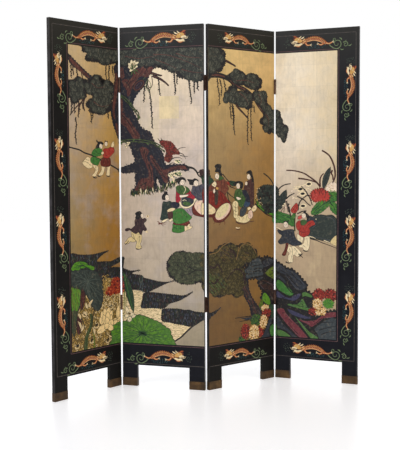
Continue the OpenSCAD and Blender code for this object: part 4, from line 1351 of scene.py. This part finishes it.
curls(at(1, "316,580 356,580 352,500 312,500"), "water", 8, (11, 10), 6)
curls(at(1, "300,480 440,480 440,400 300,410"), "water_cream", 5, (17, 13), 6)
leaf(2, (8, 592), (62, 380), 38, "leaf_dark", 0.02, 9, "stem_green", "lotus")
lines("lotus", 2, "leaf_green", 4, 11, "12,578 26,520 40,460 56,402")
lines("lotus", 2, "stone_olive", 5, 6, "14,494 11,417 8,339", "24,486 20,420 26,370")
lines("lotus", 2, "lotus_line", 5, 6, "112,573 110,537 111,491", "96,560 100,530 96,500")
petals(2, (((28, 392), 16, 36, 20), ((24, 362), 22, 16, 0), ((52, 372), 34, 18, -20),
    ((40, 346), 22, 28, -30), ((62, 362), 26, 12, 30)), "cream", "lotus_line", 8)
lay("lotus", "earth", oval(at(2, "40,374")[0], 16, 11), 14)

# %% Plants round the tree
TURF = ("leaf_dark", "stem_green", "moss", "ink", "ink", "ink", "cream", "earth", "lotus_dark")
for u, z in spots(at(2, "40,984 96,1004 200,1014 296,1052 306,1036 240,1000 120,984 60,976"), 7, 10):
    tall = rng.uniform(14, 28)
    lay("leaves", rng.choice(TURF), blade((u, z - 6), (u + rng.uniform(-12, 12), z + tall), 6, 0.08), 8)
MAPLE = at(2, """209,1258 220,1261 232,1259 248,1257 264,1254 276,1247 286,1238 292,1226 303,1214 314,1202
    317,1191 307,1189 295,1191 283,1191 273,1185 279,1176 273,1168 267,1159 258,1147 248,1153 236,1160
    237,1172 240,1183 245,1192 245,1204 239,1219 229,1231 217,1240""")
lay("leaves", "dark_red", scalloped(MAPLE, 8, 0.5), 7.4)
for place in spots(grown(MAPLE, -2), 9, 8):
    tip = (place[0] + rng.uniform(-9, 9), place[1] + rng.uniform(-9, 9))
    lay("leaves", rng.choice(("maple", "maple", "dark_red", "ink", "bark_dark")),
        blade(place, tip, 6, 0.1), 8.2 + rng.random())
lines("leaves", 2, "ink", 4.5, 12, "303,1211 320,1221 348,1224", "315,1197 335,1188 348,1165",
    "317,1184 338,1180 359,1178", "270,1168 292,1173 314,1174 329,1166", "258,1147 276,1166 286,1170",
    "256,1135 276,1147 301,1140 329,1135", "210,1258 201,1271", "223,1261 217,1273")
lay("leaves", "bark_dark",
    scalloped(at(2, "417,1108 425,1113 446,1115 446,1075 431,1076 422,1084"), 12, 0.2), 5)
for outline in (at(2, "289,1158 301,1163 317,1160 323,1151 307,1146 292,1148"),
        at(2, "255,1088 264,1094 283,1099 308,1102 323,1092 320,1082 301,1080 276,1085 261,1079")):
    lay("leaves", "cream", scalloped(outline, 12, 0.3), 7)
    for place in spots(grown(outline, -1), 9, 7):
        lay("leaves", rng.choice(("leaf_green", "leaf_dark", "moss")),
            blade(place, (place[0] + 9, place[1] + rng.uniform(-5, 5)), 6, 0.1), 8)
CLUMP = at(2, "262,1056 268,1088 290,1098 316,1100 330,1090 300,1078 292,1060 286,1040 270,1040")
for place in spots(CLUMP, 11, 9):
    colour = rng.choice(("leaf_dark", "leaf_green", "ink", "cream", "water_cream", "leaf_dark"))
    tip = (place[0] + rng.uniform(4, 12), place[1] + rng.uniform(-10, 12))
    lay("leaves", colour, blade(place, tip, 8, 0.1), 9 + rng.random())
lines("tree_trunk", 2, "ink", 12, 4, "340,1128 366,1124 384,1120 401,1106 414,1084 430,1074 444,1070")
lines("tree_trunk", 2, "ink", 7, 4, "408,1098 420,1100 434,1098 446,1108")
for place in spots(at(2, "424,1084 450,1090 450,1066 428,1070"), 9, 8):
    lay("leaves", "leaf_dark", oval(place, 11, 8, 30, 8), 5, edge=1)

# %% Blossom and leaves at the foot of panels 3 and 4
BLOSSOMS = ((3, (311, 324), 66, 62, "leaf_dark", "blossom_green", 9, 8),
    (3, (375, 382), 50, 26, "gold", "cream", 10, 8),
    (3, (386, 352), 62, 44, "dark_red", "red", 11, 8),
    (3, (365, 309), 46, 64, "gold", "cream", 12, 8),
    (3, (216, 234), 44, 26, "leaf_dark", "blossom_green", 9, 8),
    (3, (290, 222), 60, 20, "leaf_dark", "blossom_green", 9, 8),
    (3, (343, 262), 42, 56, "dark_red", "red", 10, 9),
    (3, (240, 272), 58, 74, "dark_red", "red", 11, 9),
    (3, (298, 256), 62, 84, "gold", "cream", 12, 9),
    (4, (238, 444), 62, 58, "dark_red", "red", 9, 8),
    (4, (298, 444), 66, 62, "dark_red", "red", 10, 8),
    (4, (288, 400), 52, 46, "leaf_green", "leaf_bright", 11, 8),
    (4, (228, 397), 42, 48, "gold", "cream", 12, 8),
    (4, (206, 356), 46, 36, "dark_red", "red", 9, 8),
    (4, (248, 360), 52, 42, "gold", "cream", 10, 8))
LOW_LEAVES = ((3, (356, 432), (334, 388), 22, "stone_olive"),
    (3, (366, 404), (342, 372), 20, "moss"),
    (3, (392, 336), (412, 372), 22, "leaf_green"))
for row in BLOSSOMS:
    blossom(*row)
for row in LOW_LEAVES:
    leaf(*row, 0.1, 8)

# %% Orchids, chrysanthemum and grasses of panel 4
LEAF_SHAPES = ("288,933 245,928 214,900 194,866 210,855 246,869 272,891 292,912",
    "290,929 317,920 328,903 336,858 308,873 295,895", "285,955 290,977 308,980 336,971 336,933 299,931")
LEAF_RIBS = ("286,926 244,900 204,862", "292,922 310,900 328,866", "290,940 308,956 330,962")
for outline, rib in zip(LEAF_SHAPES, LEAF_RIBS):
    lay("leaves", "leaf_green", scalloped(smooth(at(4, outline), 3), 16, 0.25), 8, edge=2)
    ridges("leaves", at(4, outline), ("leaf_dark", "leaf_bright", "leaf_dark"), 9, (13, 11), 3.4)
    lines("leaves", 4, "ink", 3, 10.4, rib)
for row in ((4, (258, 986), (296, 1104), 30, "lotus_dark"), (4, (23, 877), (60, 984), 40, "lotus_dark"),
        (4, (106, 862), (88, 826), 20, "leaf_green")):
    leaf(*row, 0.04, 7, "ink")
SPIKY = smooth(at(4, """191,953 200,974 218,985 245,988 267,981 288,957 286,938 268,930 245,934 223,924
    202,931"""), 4)
lay("flowers", "dark_red", scalloped(SPIKY, 11, 0.9), 10)
lay("flowers", "flower_red", scalloped(grown(SPIKY, -3), 12, 0.8), 10.6)
for u, z in spots(grown(SPIKY, -6), 15, 11):
    tip = (u + (u - WIDTH * 3 - 242) * 0.2, z + 9 + (z - 950) * 0.2)
    lay("flowers", rng.choice(("dark_red", "rose", "flower_red", "dark_red")),
        blade((u, z - 5), tip, 5, 0.1), 11.2 + rng.random())
lay("flowers", "peony",
    scalloped(smooth(at(4, "272,986 285,1007 307,1023 330,1010 334,980 308,974"), 3), 13, 0.4), 8, edge=1)
lines("flowers", 4, "cream_shade", 3, 9, "286,1000 300,990 316,996", "296,1012 308,1004 326,1006",
    "290,986 306,980")
lines("leaves", 4, "maroon", 8, 8, "250,1190 271,1178 291,1160 304,1136 314,1109 319,1083", taper=1.1)
lines("leaves", 4, "maroon", 9, 8, "319,1085 320,1058 314,1036 305,1019",
    "305,1088 300,1071 307,1058 309,1036", taper=0.7)
lines("leaves", 4, "maroon", 6, 8,
    "59,1087 89,1086 121,1081 154,1071 181,1055 208,1036 227,1019 242,1000", taper=1.5)
lines("leaves", 4, "maroon", 9, 8, "124,1044 154,1041 181,1036 209,1028 227,1019",
    "242,1000 240,1034 247,1056 260,1070", taper=0.6)
lines("leaves", 4, "ink", 7, 8, "11,979 29,998 53,1011 83,1016",
    "140,1002 163,980 177,957 187,940 200,905", "123,876 130,915 146,936 173,955 191,953",
    "60,938 81,955 104,966", "58,938 65,907 75,868", "119,858 146,871 169,875",
    "118,950 155,932 173,914 191,901", "72,912 77,881 82,846", taper=0.7)
lines("leaves", 4, "stem_green", 8, 7, "106,767 105,802 107,845 109,867", "74,880 80,860 84,840",
    taper=0.8)
lines("flowers", 4, "cream", 4, 7.4, "96,988 136,992 180,990 196,978", "100,1000 140,1004 176,1020",
    "120,960 150,970 176,966", "126,890 150,908 170,900", "90,950 110,940 130,944", taper=0.8)
for place in trace("181,1014 136,987 148,963 150,899"):
    lay("flowers", "cream", scalloped(oval(at(4, [place])[0], 32, 22, 10), 9, 0.4), 8)
    lay("flowers", "ink", blade(*at(4, [(place[0] - 13, place[1]), (place[0] + 13, place[1] + 2)]), 14),
        9)
for place in trace("112,994 96,940 168,984 90,978 60,930 50,910 78,900 42,900 56,890"):
    lay("flowers", rng.choice(("cream", "pink_cream", "skin")), oval(at(4, [place])[0], 10, 7, 30), 9)
lay("flowers", "flower_red", smooth(at(4, "84,876 102,902 116,915 124,893 114,867 96,862"), 2), 9, edge=2)
lines("flowers", 4, "dark_red", 4, 10, "92,872 104,890 114,906", "104,866 114,884 118,902")
lines("leaves", 4, "maroon", 4, 8, "30,866 40,884 60,894", "70,866 64,890 56,920", "46,866 48,890 40,910")

# %% [markdown]
# ## The figures
# Robed figures play and drum beneath the tree, each a few flat shapes of colour with black folds.
# Heads are one plain pattern: an oval with six small marks, under hair laid as a flat black shape.

# %% A face and its clothes
STEP = 1.2


def face(index, to, tilt=0.0, size=1.0, level=17):
    """A face of one plain pattern, calm and looking ahead."""
    place = at(index, [to])[0]

    def put(colour, outline, lift):
        lay("figures", colour, moved(outline, place, tilt, size), level + lift)

    put("ink", oval((0, 0), 21, 25), -0.6)
    put("skin", oval((0, 0), 19, 23), 0)
    for side in (-1, 1):
        put("ink", oval((side * 4, 0.5), 3.4, 1.6, 0, 8), 1)
        put("bark", ribbon([(side * 2.2, 3.8), (side * 6, 4.2)], 0.9), 1)
    put("bark", ribbon([(0, 0), (0.6, -3.2)], 0.8), 1)
    put("red", oval((0, -6.2), 4, 1.8, 0, 8), 1)


def hair(index, *outlines, level=16):
    """Flat black shapes of hair."""
    for outline in outlines:
        lay("figures", "ink", smooth(at(index, outline), 4), level)


def knots(index, to, tilt=0.0, size=1.0, level=15.5):
    """A child's hair: a cap and two knots."""
    for centre, wide, tall in (((0, 4), 24, 22), ((-8, 16), 9, 9), ((8, 16), 9, 9)):
        lay("figures", "ink", moved(oval(centre, wide, tall), at(index, [to])[0], tilt, size), level)


def dress(index, level, *garments):
    """Lays garments one above the other: each a colour, an outline and any number of folds."""
    for number, (colour, outline, *folds) in enumerate(garments):
        height = level + STEP * number
        lay("figures", colour, smooth(at(index, outline), 4), height, edge=1.6)
        for fold in folds:
            stroke("figures", "ink", at(index, fold), 2.2, height + 0.4, 0.9)


# %% Two children on the slope of panel 1
dress(1, 6,
    ("water_cream", "194,1148 203,1160 224,1177 241,1173 246,1156 258,1140 255,1127 233,1121 209,1132",
        "206,1156 226,1150 246,1136", "214,1166 236,1160"),
    ("water_cream", "260,1137 291,1133 296,1114 285,1094 274,1081 255,1088 268,1098 277,1115",
        "276,1130 284,1108"),
    ("leaf_green", "246,1164 258,1178 285,1175 308,1167 302,1150 291,1137 269,1142 249,1152",
        "262,1170 268,1148", "284,1168 290,1144"),
    ("leaf_green",
        "283,1221 302,1225 316,1219 325,1206 325,1194 308,1185 285,1181 258,1185 255,1197 266,1212",
        "276,1210 296,1196 318,1196", "264,1196 290,1190"))
lines("figures", 1, "ink", 4, 12, "250,1188 285,1176 314,1168 330,1180")
hair(1, """288,1264 297,1255 308,1255 322,1254 334,1244 326,1238 310,1232 300,1222 280,1221 285,1235
    294,1246 285,1255""")
face(1, (315, 1231), 10, 1.05)
dress(1, 6,
    ("water_cream", "320,1133 339,1133 336,1114 325,1089 297,1087 308,1100 318,1114"),
    ("water_cream", "359,1130 378,1135 374,1114 371,1086 351,1088 354,1106"),
    ("dark_red", "314,1156 331,1174 354,1172 377,1171 378,1137 354,1130 319,1134", "336,1168 330,1138",
        "358,1168 360,1136"),
    ("coat_red", """331,1211 342,1220 365,1221 385,1230 400,1226 407,1207 394,1194 377,1181 362,1172
        336,1175 328,1190""", "346,1210 350,1184", "372,1216 384,1200", "334,1188 360,1184"),
    ("water_cream", "385,1230 389,1245 400,1257 405,1244 400,1230"),
    ("water_cream", "318,1200 330,1205 334,1196 322,1190"))
knots(1, (350, 1244), -6, 0.8)
face(1, (350, 1243), -6, 0.95)
lines("figures", 1, "ink", 7, 6, "262,1078 276,1074 288,1076", "290,1086 300,1082 312,1083",
    "354,1084 366,1081 376,1082")

# %% The party beneath the tree on panel 2
dress(2, 6,
    ("grey_robe",
        "384,1032 402,1027 419,1035 448,1036 448,955 419,957 402,969 389,978 378,987 376,1006 381,1021",
        "396,1022 404,996 430,976", "418,1030 424,1000 440,984", "390,1000 410,984"),
    ("robe_red", "299,1012 313,1006 322,990 319,969 315,951 297,948 294,972 296,993", "306,1000 304,960"),
    ("robe_red", "345,1000 366,1010 378,990 394,978 392,968 376,965 359,972 342,984", "366,996 384,974",
        "354,990 370,976"),
    ("collar_green",
        "297,1027 316,1034 336,1031 352,1026 366,1012 362,1001 346,992 330,984 314,992 300,1004",
        "312,1026 322,1006 330,990", "306,1014 318,998"),
    ("cream", """312,951 316,935 329,923 349,919 371,926 386,938 394,954 403,966 392,968 384,946 362,929
        342,928 326,935 320,950"""),
    ("slate", "325,970 336,976 352,974 372,969 386,960 384,947 362,932 344,930 328,938",
        "340,968 362,958", "334,950 352,944"),
    ("skin", "314,984 326,986 349,987 360,989 357,982 342,977 319,974"))
lay("figures", "collar_green", oval(at(2, "352,943")[0], 44, 20, -8), 14)
lines("figures", 2, "cream", 4, 14, "337,1030 346,1014 334,992", "330,958 340,962 350,958")
hair(2, """294,1064 306,1071 322,1077 339,1073 348,1061 348,1047 341,1060 322,1060 314,1045 317,1033
    309,1041 297,1055""", """356,1066 382,1064 393,1070 409,1064 414,1054 400,1058 389,1050 386,1036
    376,1036 366,1039 364,1050 358,1058""")
face(2, (329, 1049), -8, 1.2)
face(2, (401, 1045), 6, 1.25)
dress(2, 6,
    ("mauve", "340,916 382,925 388,905 376,883 362,889 349,903", "364,916 372,896", "352,910 362,900"),
    ("teal_robe", """228,952 244,950 262,955 274,948 292,944 302,930 290,920 266,917 250,909 248,892
        252,867 234,858 212,862 214,876 220,905
        222,932""", "244,944 240,900 228,868", "256,940 252,912", "230,930 228,890"),
    ("navy", "272,948 304,947 311,930 294,918 270,924", "282,940 300,930"),
    ("brown_robe", "252,897 276,900 276,871 257,866"),
    ("water_cream", "249,909 269,920 289,918 284,909 262,902 252,901"),
    ("cream", "219,853 236,862 252,866 244,857 226,847"),
    ("cream", "257,856 272,867 278,860 266,852"))
hair(2, "222,964 220,978 227,990 239,998 250,994 254,986 244,982 239,974 238,962 231,960",
    "232,994 238,1004 250,1002 248,994")
face(2, (249, 973), 16, 1.15)
dress(2, 6,
    ("leaf_green", "280,842 312,838 338,842 343,825 340,808 316,797 290,797 274,803 277,825",
        "296,832 294,806", "318,834 320,804", "284,824 308,816 336,822"),
    ("dark_red", "282,848 316,845 359,856 366,838 349,832 316,836 284,838"),
    ("leaf_green", """275,886 280,905 299,916 322,919 338,912 350,900 364,887 377,875 364,860 348,852
        316,842 289,846
        275,862""", "300,908 286,880 300,852", "336,906 350,880 340,858", "320,914 330,890 360,872"),
    ("water_cream", "341,831 352,828 359,838 369,841 366,830 380,829 371,818 352,810 341,806",
        "350,822 362,824"))
lines("figures", 2, "moss", 4, 12, "296,890 306,900 322,898 330,884 318,870 302,872 296,886")
lines("figures", 2, "dark_red", 4, 8, "196,852 212,842 228,828", "202,836 216,844 244,846",
    "200,842 222,840 240,838")

# %% The child who runs on panel 2
dress(2, 6,
    ("gold_patch", "56,770 71,759 76,747 60,745 47,747 36,736 22,733 18,739 28,752 39,765"),
    ("gold_patch", """55,796 77,790 90,796 101,788 110,779 108,752 101,734 107,724 107,713 85,707 78,716
        81,734 84,747 74,757 63,767 56,777""", "63,785 71,762 82,747", "99,777 100,757 93,734"),
    ("plum_robe", """80,866 80,876 103,874 115,863 128,867 137,859 131,850 122,842 127,828 137,812 129,803
        118,807 112,796 110,785 101,785 96,796 88,793 77,788 63,795 53,802 44,806 33,801 22,802 23,811
        40,815 53,811 66,821 75,829 74,841
        74,854""", "92,864 94,840 86,806", "110,858 104,830 116,808", "84,850 80,826"))
hair(2, "75,889 80,896 89,901 101,903 108,899 112,892 110,880 103,869 90,862 80,864 75,869 81,878")
face(2, (113, 881), 6, 0.72)
lay("figures", "water_cream", oval(at(2, "143,877")[0], 13, 13), 8)
lay("figures", "bark", oval(at(2, "143,878")[0], 6, 7), 9)
lay("figures", "water_cream", oval(at(2, "138,798")[0], 15, 9, -10), 5)
lines("figures", 2, "ink", 5, 8, "80,712 91,708 101,710 108,715", "20,732 32,740 40,752")

# %% The drum and the lady of panels 2 and 3
lay("figures", "dark_red", smooth(at(2, """384,932 380,912 388,890 412,882 448,876 470,880 486,900 484,930
    460,948 430,956 400,950"""), 4), 8, edge=2)
lay("figures", "pink_cream", smooth(at(2, """391,931 395,947 411,957 440,960 466,950 476,930 478,902
    464,892 440,887 422,892 406,905 397,917"""), 4), 9)
lines("figures", 2, "water_cream", 5, 10, "404,940 424,948 448,946", "412,916 430,904 446,902")
dress(3, 8,
    ("leaf_dark", "-6,1078 14,1072 30,1058 26,1040 -6,1044"),
    ("collar_green", "62,1084 80,1080 97,1068 94,1050 70,1054"),
    ("lady_robe", """-6,1010 11,1037 28,1050 52,1057 75,1057 94,1064 112,1050 121,1030 129,1014 115,999
        107,984 100,960 60,950
        0,972""", "84,1056 80,1020 92,980", "100,1056 104,1024 120,1016", "20,1040 16,1010 4,990"),
    ("lady_skirt", """-6,1002 21,1006 40,994 65,1005 92,992 110,976 117,964 137,944 142,920 110,914 65,920
        31,917 2,930 -6,972""", "76,996 92,960 120,930", "64,1000 70,960 90,924", "24,1000 20,960 12,930",
        "100,980 112,950 136,934"),
    ("stripe_brown", "40,1006 57,1007 59,970 53,940 40,940 38,971", "48,1000 49,944"),
    ("cream", "20,1038 38,1054 49,1041 41,1025 27,1031", "30,1040 42,1030"),
    ("skin", "28,1006 36,1017 41,1003 33,994"),
    ("gold", "48,1025 61,1022 59,1012 47,1015"))
hair(3, """38,1129 52,1140 74,1140 82,1128 77,1115 79,1102 88,1087 80,1078 70,1086 62,1098 44,1100 40,1106
    45,1116""")
lay("figures", "slate", blade(*at(3, "50,1118 72,1112"), 5), 17)
face(3, (53, 1079), 14, 1.3)
dress(3, 7,
    ("brick_robe", "105,1052 129,1050 140,1046 140,1030 114,1042"),
    ("leaf_dark", "136,1054 160,1052 181,1046 174,1030 150,1030 136,1040"))
lines("figures", 3, "ink", 6, 9, "90,1090 122,1058 150,1046 180,1036", "118,1000 143,980 172,964",
    "135,1027 156,1020 177,1013", "120,996 128,960 150,940")
lay("figures", "water_cream", smooth(at(3, "-10,945 4,941 21,930 38,918 42,903 28,892 -10,890"), 4), 14,
    edge=2)
lines("figures", 3, "dark_red", 5, 15, "-4,888 24,887 42,880", "-4,878 20,876 40,868")
lines("figures", 3, "pink_cream", 4, 15, "4,930 22,918 34,904")
lay("figures", "dark_red", oval(at(3, "93,897")[0], 122, 74, 36, 24), 15, edge=1.6)
lay("figures", "dark_red", smooth(at(3, "20,882 40,874 60,868 90,862 112,872 96,852 66,846 37,852"), 4),
    14, edge=1)
lay("figures", "pink_cream", oval(at(3, "91,901")[0], 114, 62, 36, 24), 16)
lay("figures", "drum_yellow", oval(at(3, "87,906")[0], 102, 48, 37, 24), 17)
lines("figures", 3, "pink_cream", 2.4, 18, "60,896 86,906 116,926", "54,888 92,894 126,914")
lines("figures", 3, "dark_red", 4, 16, "44,866 40,852 30,840", "70,852 72,842 66,832",
    "96,852 104,844 100,834")

# %% The children and the second lady of panel 3
hair(3, """247,1090 250,1100 262,1106 276,1108 286,1098 289,1085 296,1065 298,1045 289,1047 281,1065
    273,1082 260,1091""")
face(3, (262, 1074), 10, 1.2)
dress(3, 6,
    ("brown_robe", """234,1027 247,1046 268,1058 284,1061 297,1047 299,1013 298,961 295,912 274,906
        260,931 254,963 247,995 231,1011""", "284,1054 280,1000 284,930", "262,1040 258,1004 266,960",
        "294,1040 290,980 294,930", "246,1030 262,1020"),
    ("water_cream", "254,910 266,918 279,910 262,902"),
    ("water_cream", "281,904 294,920 311,926 316,907 296,893", "292,912 306,910"),
    ("pink_cream", "258,874 264,896 283,900 290,874 280,859 264,859", "270,892 272,866"))
face(3, (246, 1040), -6, 0.8)
dress(3, 6,
    ("skirt", "177,862 194,876 215,867 237,878 256,882 269,865 269,850 241,838 207,841 182,848",
        "196,870 202,850", "226,868 222,848", "250,876 244,850"),
    ("stone_blue", "210,910 241,924 248,904 231,878 207,874 204,892", "226,914 220,886"),
    ("blue_robe", "226,953 254,955 273,937 256,920 232,923 222,941", "240,948 250,930"),
    ("navy", "211,1001 237,1007 256,991 269,962 269,944 245,950 230,969 218,983", "236,1000 250,966"),
    ("collar_green", """175,1007 194,1013 214,1009 219,992 232,974 240,959 232,939 220,920 202,923 189,947
        170,959 166,977
        170,995""", "190,1004 184,980 190,960", "208,1000 206,960 214,930", "220,984 222,950"),
    ("skin", "179,972 203,967 209,960 188,958"))
hair(3, """158,1039 173,1049 194,1054 222,1046 226,1026 213,1012 203,1022 206,1038 190,1042 177,1034
    167,1028""")
face(3, (191, 1028), 6, 1.2)
dress(3, 6,
    ("skirt", "153,935 164,951 182,950 192,935 187,916 192,898 181,865 162,871 162,898 156,916",
        "158,930 172,918 188,922", "162,908 176,898 190,902", "164,888 176,880 186,882",
        "172,946 174,870"))
lines("figures", 3, "brown_robe", 6, 5, "176,846 196,836 230,832 262,838", "262,850 276,842 300,844")
lines("figures", 3, "cream", 6, 7, "176,816 190,812 204,814")
lines("figures", 3, "brown_robe", 5, 8, "180,808 194,804 206,808")

# %% Two children among the flowers of panel 4
ROCKS_4 = """179,778 201,793 214,811 201,833 209,848 248,854 275,850 302,854 322,840 334,812 336,740
    312,720 294,714 271,720 240,727 185,738 175,759"""
stone(4, "lotus_dark", ROCKS_4, 4, shares=(0.7, 0.44, 0.22), line="bush", wide=3)
lay("rocks", "gold_patch", smooth(at(4, "298,711 308,734 326,750 340,752 340,698"), 4), 5.4, edge=1)
lay("rocks", "cream", blade(*at(4, "205,806 222,836"), 12), 5.6)
lines("rocks", 4, "cream", 5, 6, "184,742 204,738 218,732", "262,724 280,718 296,712")
dress(4, 7,
    ("cream", "120,752 138,741 152,733 146,709 131,701 121,718", "134,734 136,712"),
    ("cream", "160,739 183,741 187,720 185,690 176,670 158,670 148,683 133,683 129,692 150,702 158,720",
        "172,734 174,700", "152,694 168,684"),
    ("slate", "177,781 201,796 222,809 222,824 205,839 185,848 172,830 168,804", "190,830 208,816"),
    ("coat_red", """114,808 130,823 149,816 156,799 174,816 201,825 215,805 197,797 183,784 188,771
        179,749 152,738 131,749 129,769 117,780""", "136,814 140,790 126,772", "196,814 176,800 166,780",
        "132,770 150,762 180,768", "150,792 156,770", "140,752 148,764"),
    ("collar_green", "138,821 158,828 172,815 156,800 142,802"),
    ("rose", "121,834 130,847 148,851 151,843 133,830"))
hair(4, "148,862 164,866 178,857 186,842 174,825 169,838 164,851 153,857", "152,864 158,873 168,868")
face(4, (155, 848), 10, 1.15)
lines("figures", 4, "ink", 6, 8, "152,670 164,664 180,666", "120,704 130,698 142,700")
dress(4, 7,
    ("cream",
        "72,698 84,685 103,690 131,668 139,653 121,634 103,645 96,633 94,605 74,606 69,633 76,651 62,668",
        "90,684 94,650 84,616", "104,680 124,656", "76,676 84,660"),
    ("dark_red", "60,716 71,700 64,668 54,640 37,642 50,666 56,688", "62,700 56,664"),
    ("slate", """39,768 64,775 98,774 103,755 108,737 118,722 142,707 133,696 96,692 68,705 45,701 27,698
        15,711 29,729 35,744 19,755
        12,772""", "60,768 56,730 40,706", "88,764 92,730 120,706", "74,766 72,716", "26,764 44,756"))
hair(4, "44,814 54,822 68,818 72,806 64,810 54,810", "66,822 74,826 76,816")
face(4, (57, 800), 10, 1.3)
lines("figures", 4, "ink", 7, 8, "126,650 138,642 150,630", "132,636 142,646 150,652",
    "56,606 72,600 88,604")
lines("figures", 4, "cream", 6, 8, "4,786 24,777 44,768")
lines("figures", 4, "maroon", 3, 9, "6,781 24,772 40,764", "110,848 124,846 136,850")
print("strokes in all:", sum(map(len, LAID.values())), "on", len(LAID), "pieces")

# %% [markdown]
# ## Raise the shapes into thin plates
# Each shape becomes a closed plate: a top, a bottom sunk a little into the ground, and a side for each
# edge. All plates of one motif on one panel make one piece, which rides that panel, so the picture
# parts at the joints as the real one does when the screen folds.

# %% Build a piece for each motif on each panel


def raised(panel, x, z, height):
    """A point on the panel in metres, so many millimetres in front of its face."""
    flat = panel["corner"] + panel["across"] * (x * MM) + panel["out"] * (height * MM)
    return (flat.x, flat.y, z * MM)


def build_piece(piece, index, shapes):
    """One mesh of closed plates, which rides on its panel."""
    panel = PANELS[index]
    points, faces, paints = [], [], []
    colours = sorted({colour for _, colour, _ in shapes})
    for outline, colour, height in shapes:
        outline = wound(outline)
        count, first = len(outline), len(points)
        points += [raised(panel, x, z, -SUNK_MM) for x, z in outline]
        points += [raised(panel, x, z, height) for x, z in outline]
        faces.append([first + count + k for k in range(count)])
        faces.append([first + k for k in reversed(range(count))])
        for k in range(count):
            after = (k + 1) % count
            faces.append([first + k, first + after, first + count + after, first + count + k])
        paints += [colours.index(colour)] * (count + 2)
    mesh = bpy.data.meshes.new(f"{piece}_{index}")
    mesh.from_pydata(points, [], faces)
    mesh.polygons.foreach_set("material_index", paints)
    for colour in colours:
        mesh.materials.append(PIGMENTS[colour])
    plate = bpy.data.objects.new(f"{piece}_{index}", mesh)
    bpy.context.scene.collection.objects.link(plate)
    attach(plate, f"panel_{index}")
    return len(faces)


total = sum(build_piece(piece, index, shapes) for (piece, index), shapes in sorted(LAID.items()))
print("built", len(LAID), "pieces with", total, "faces")
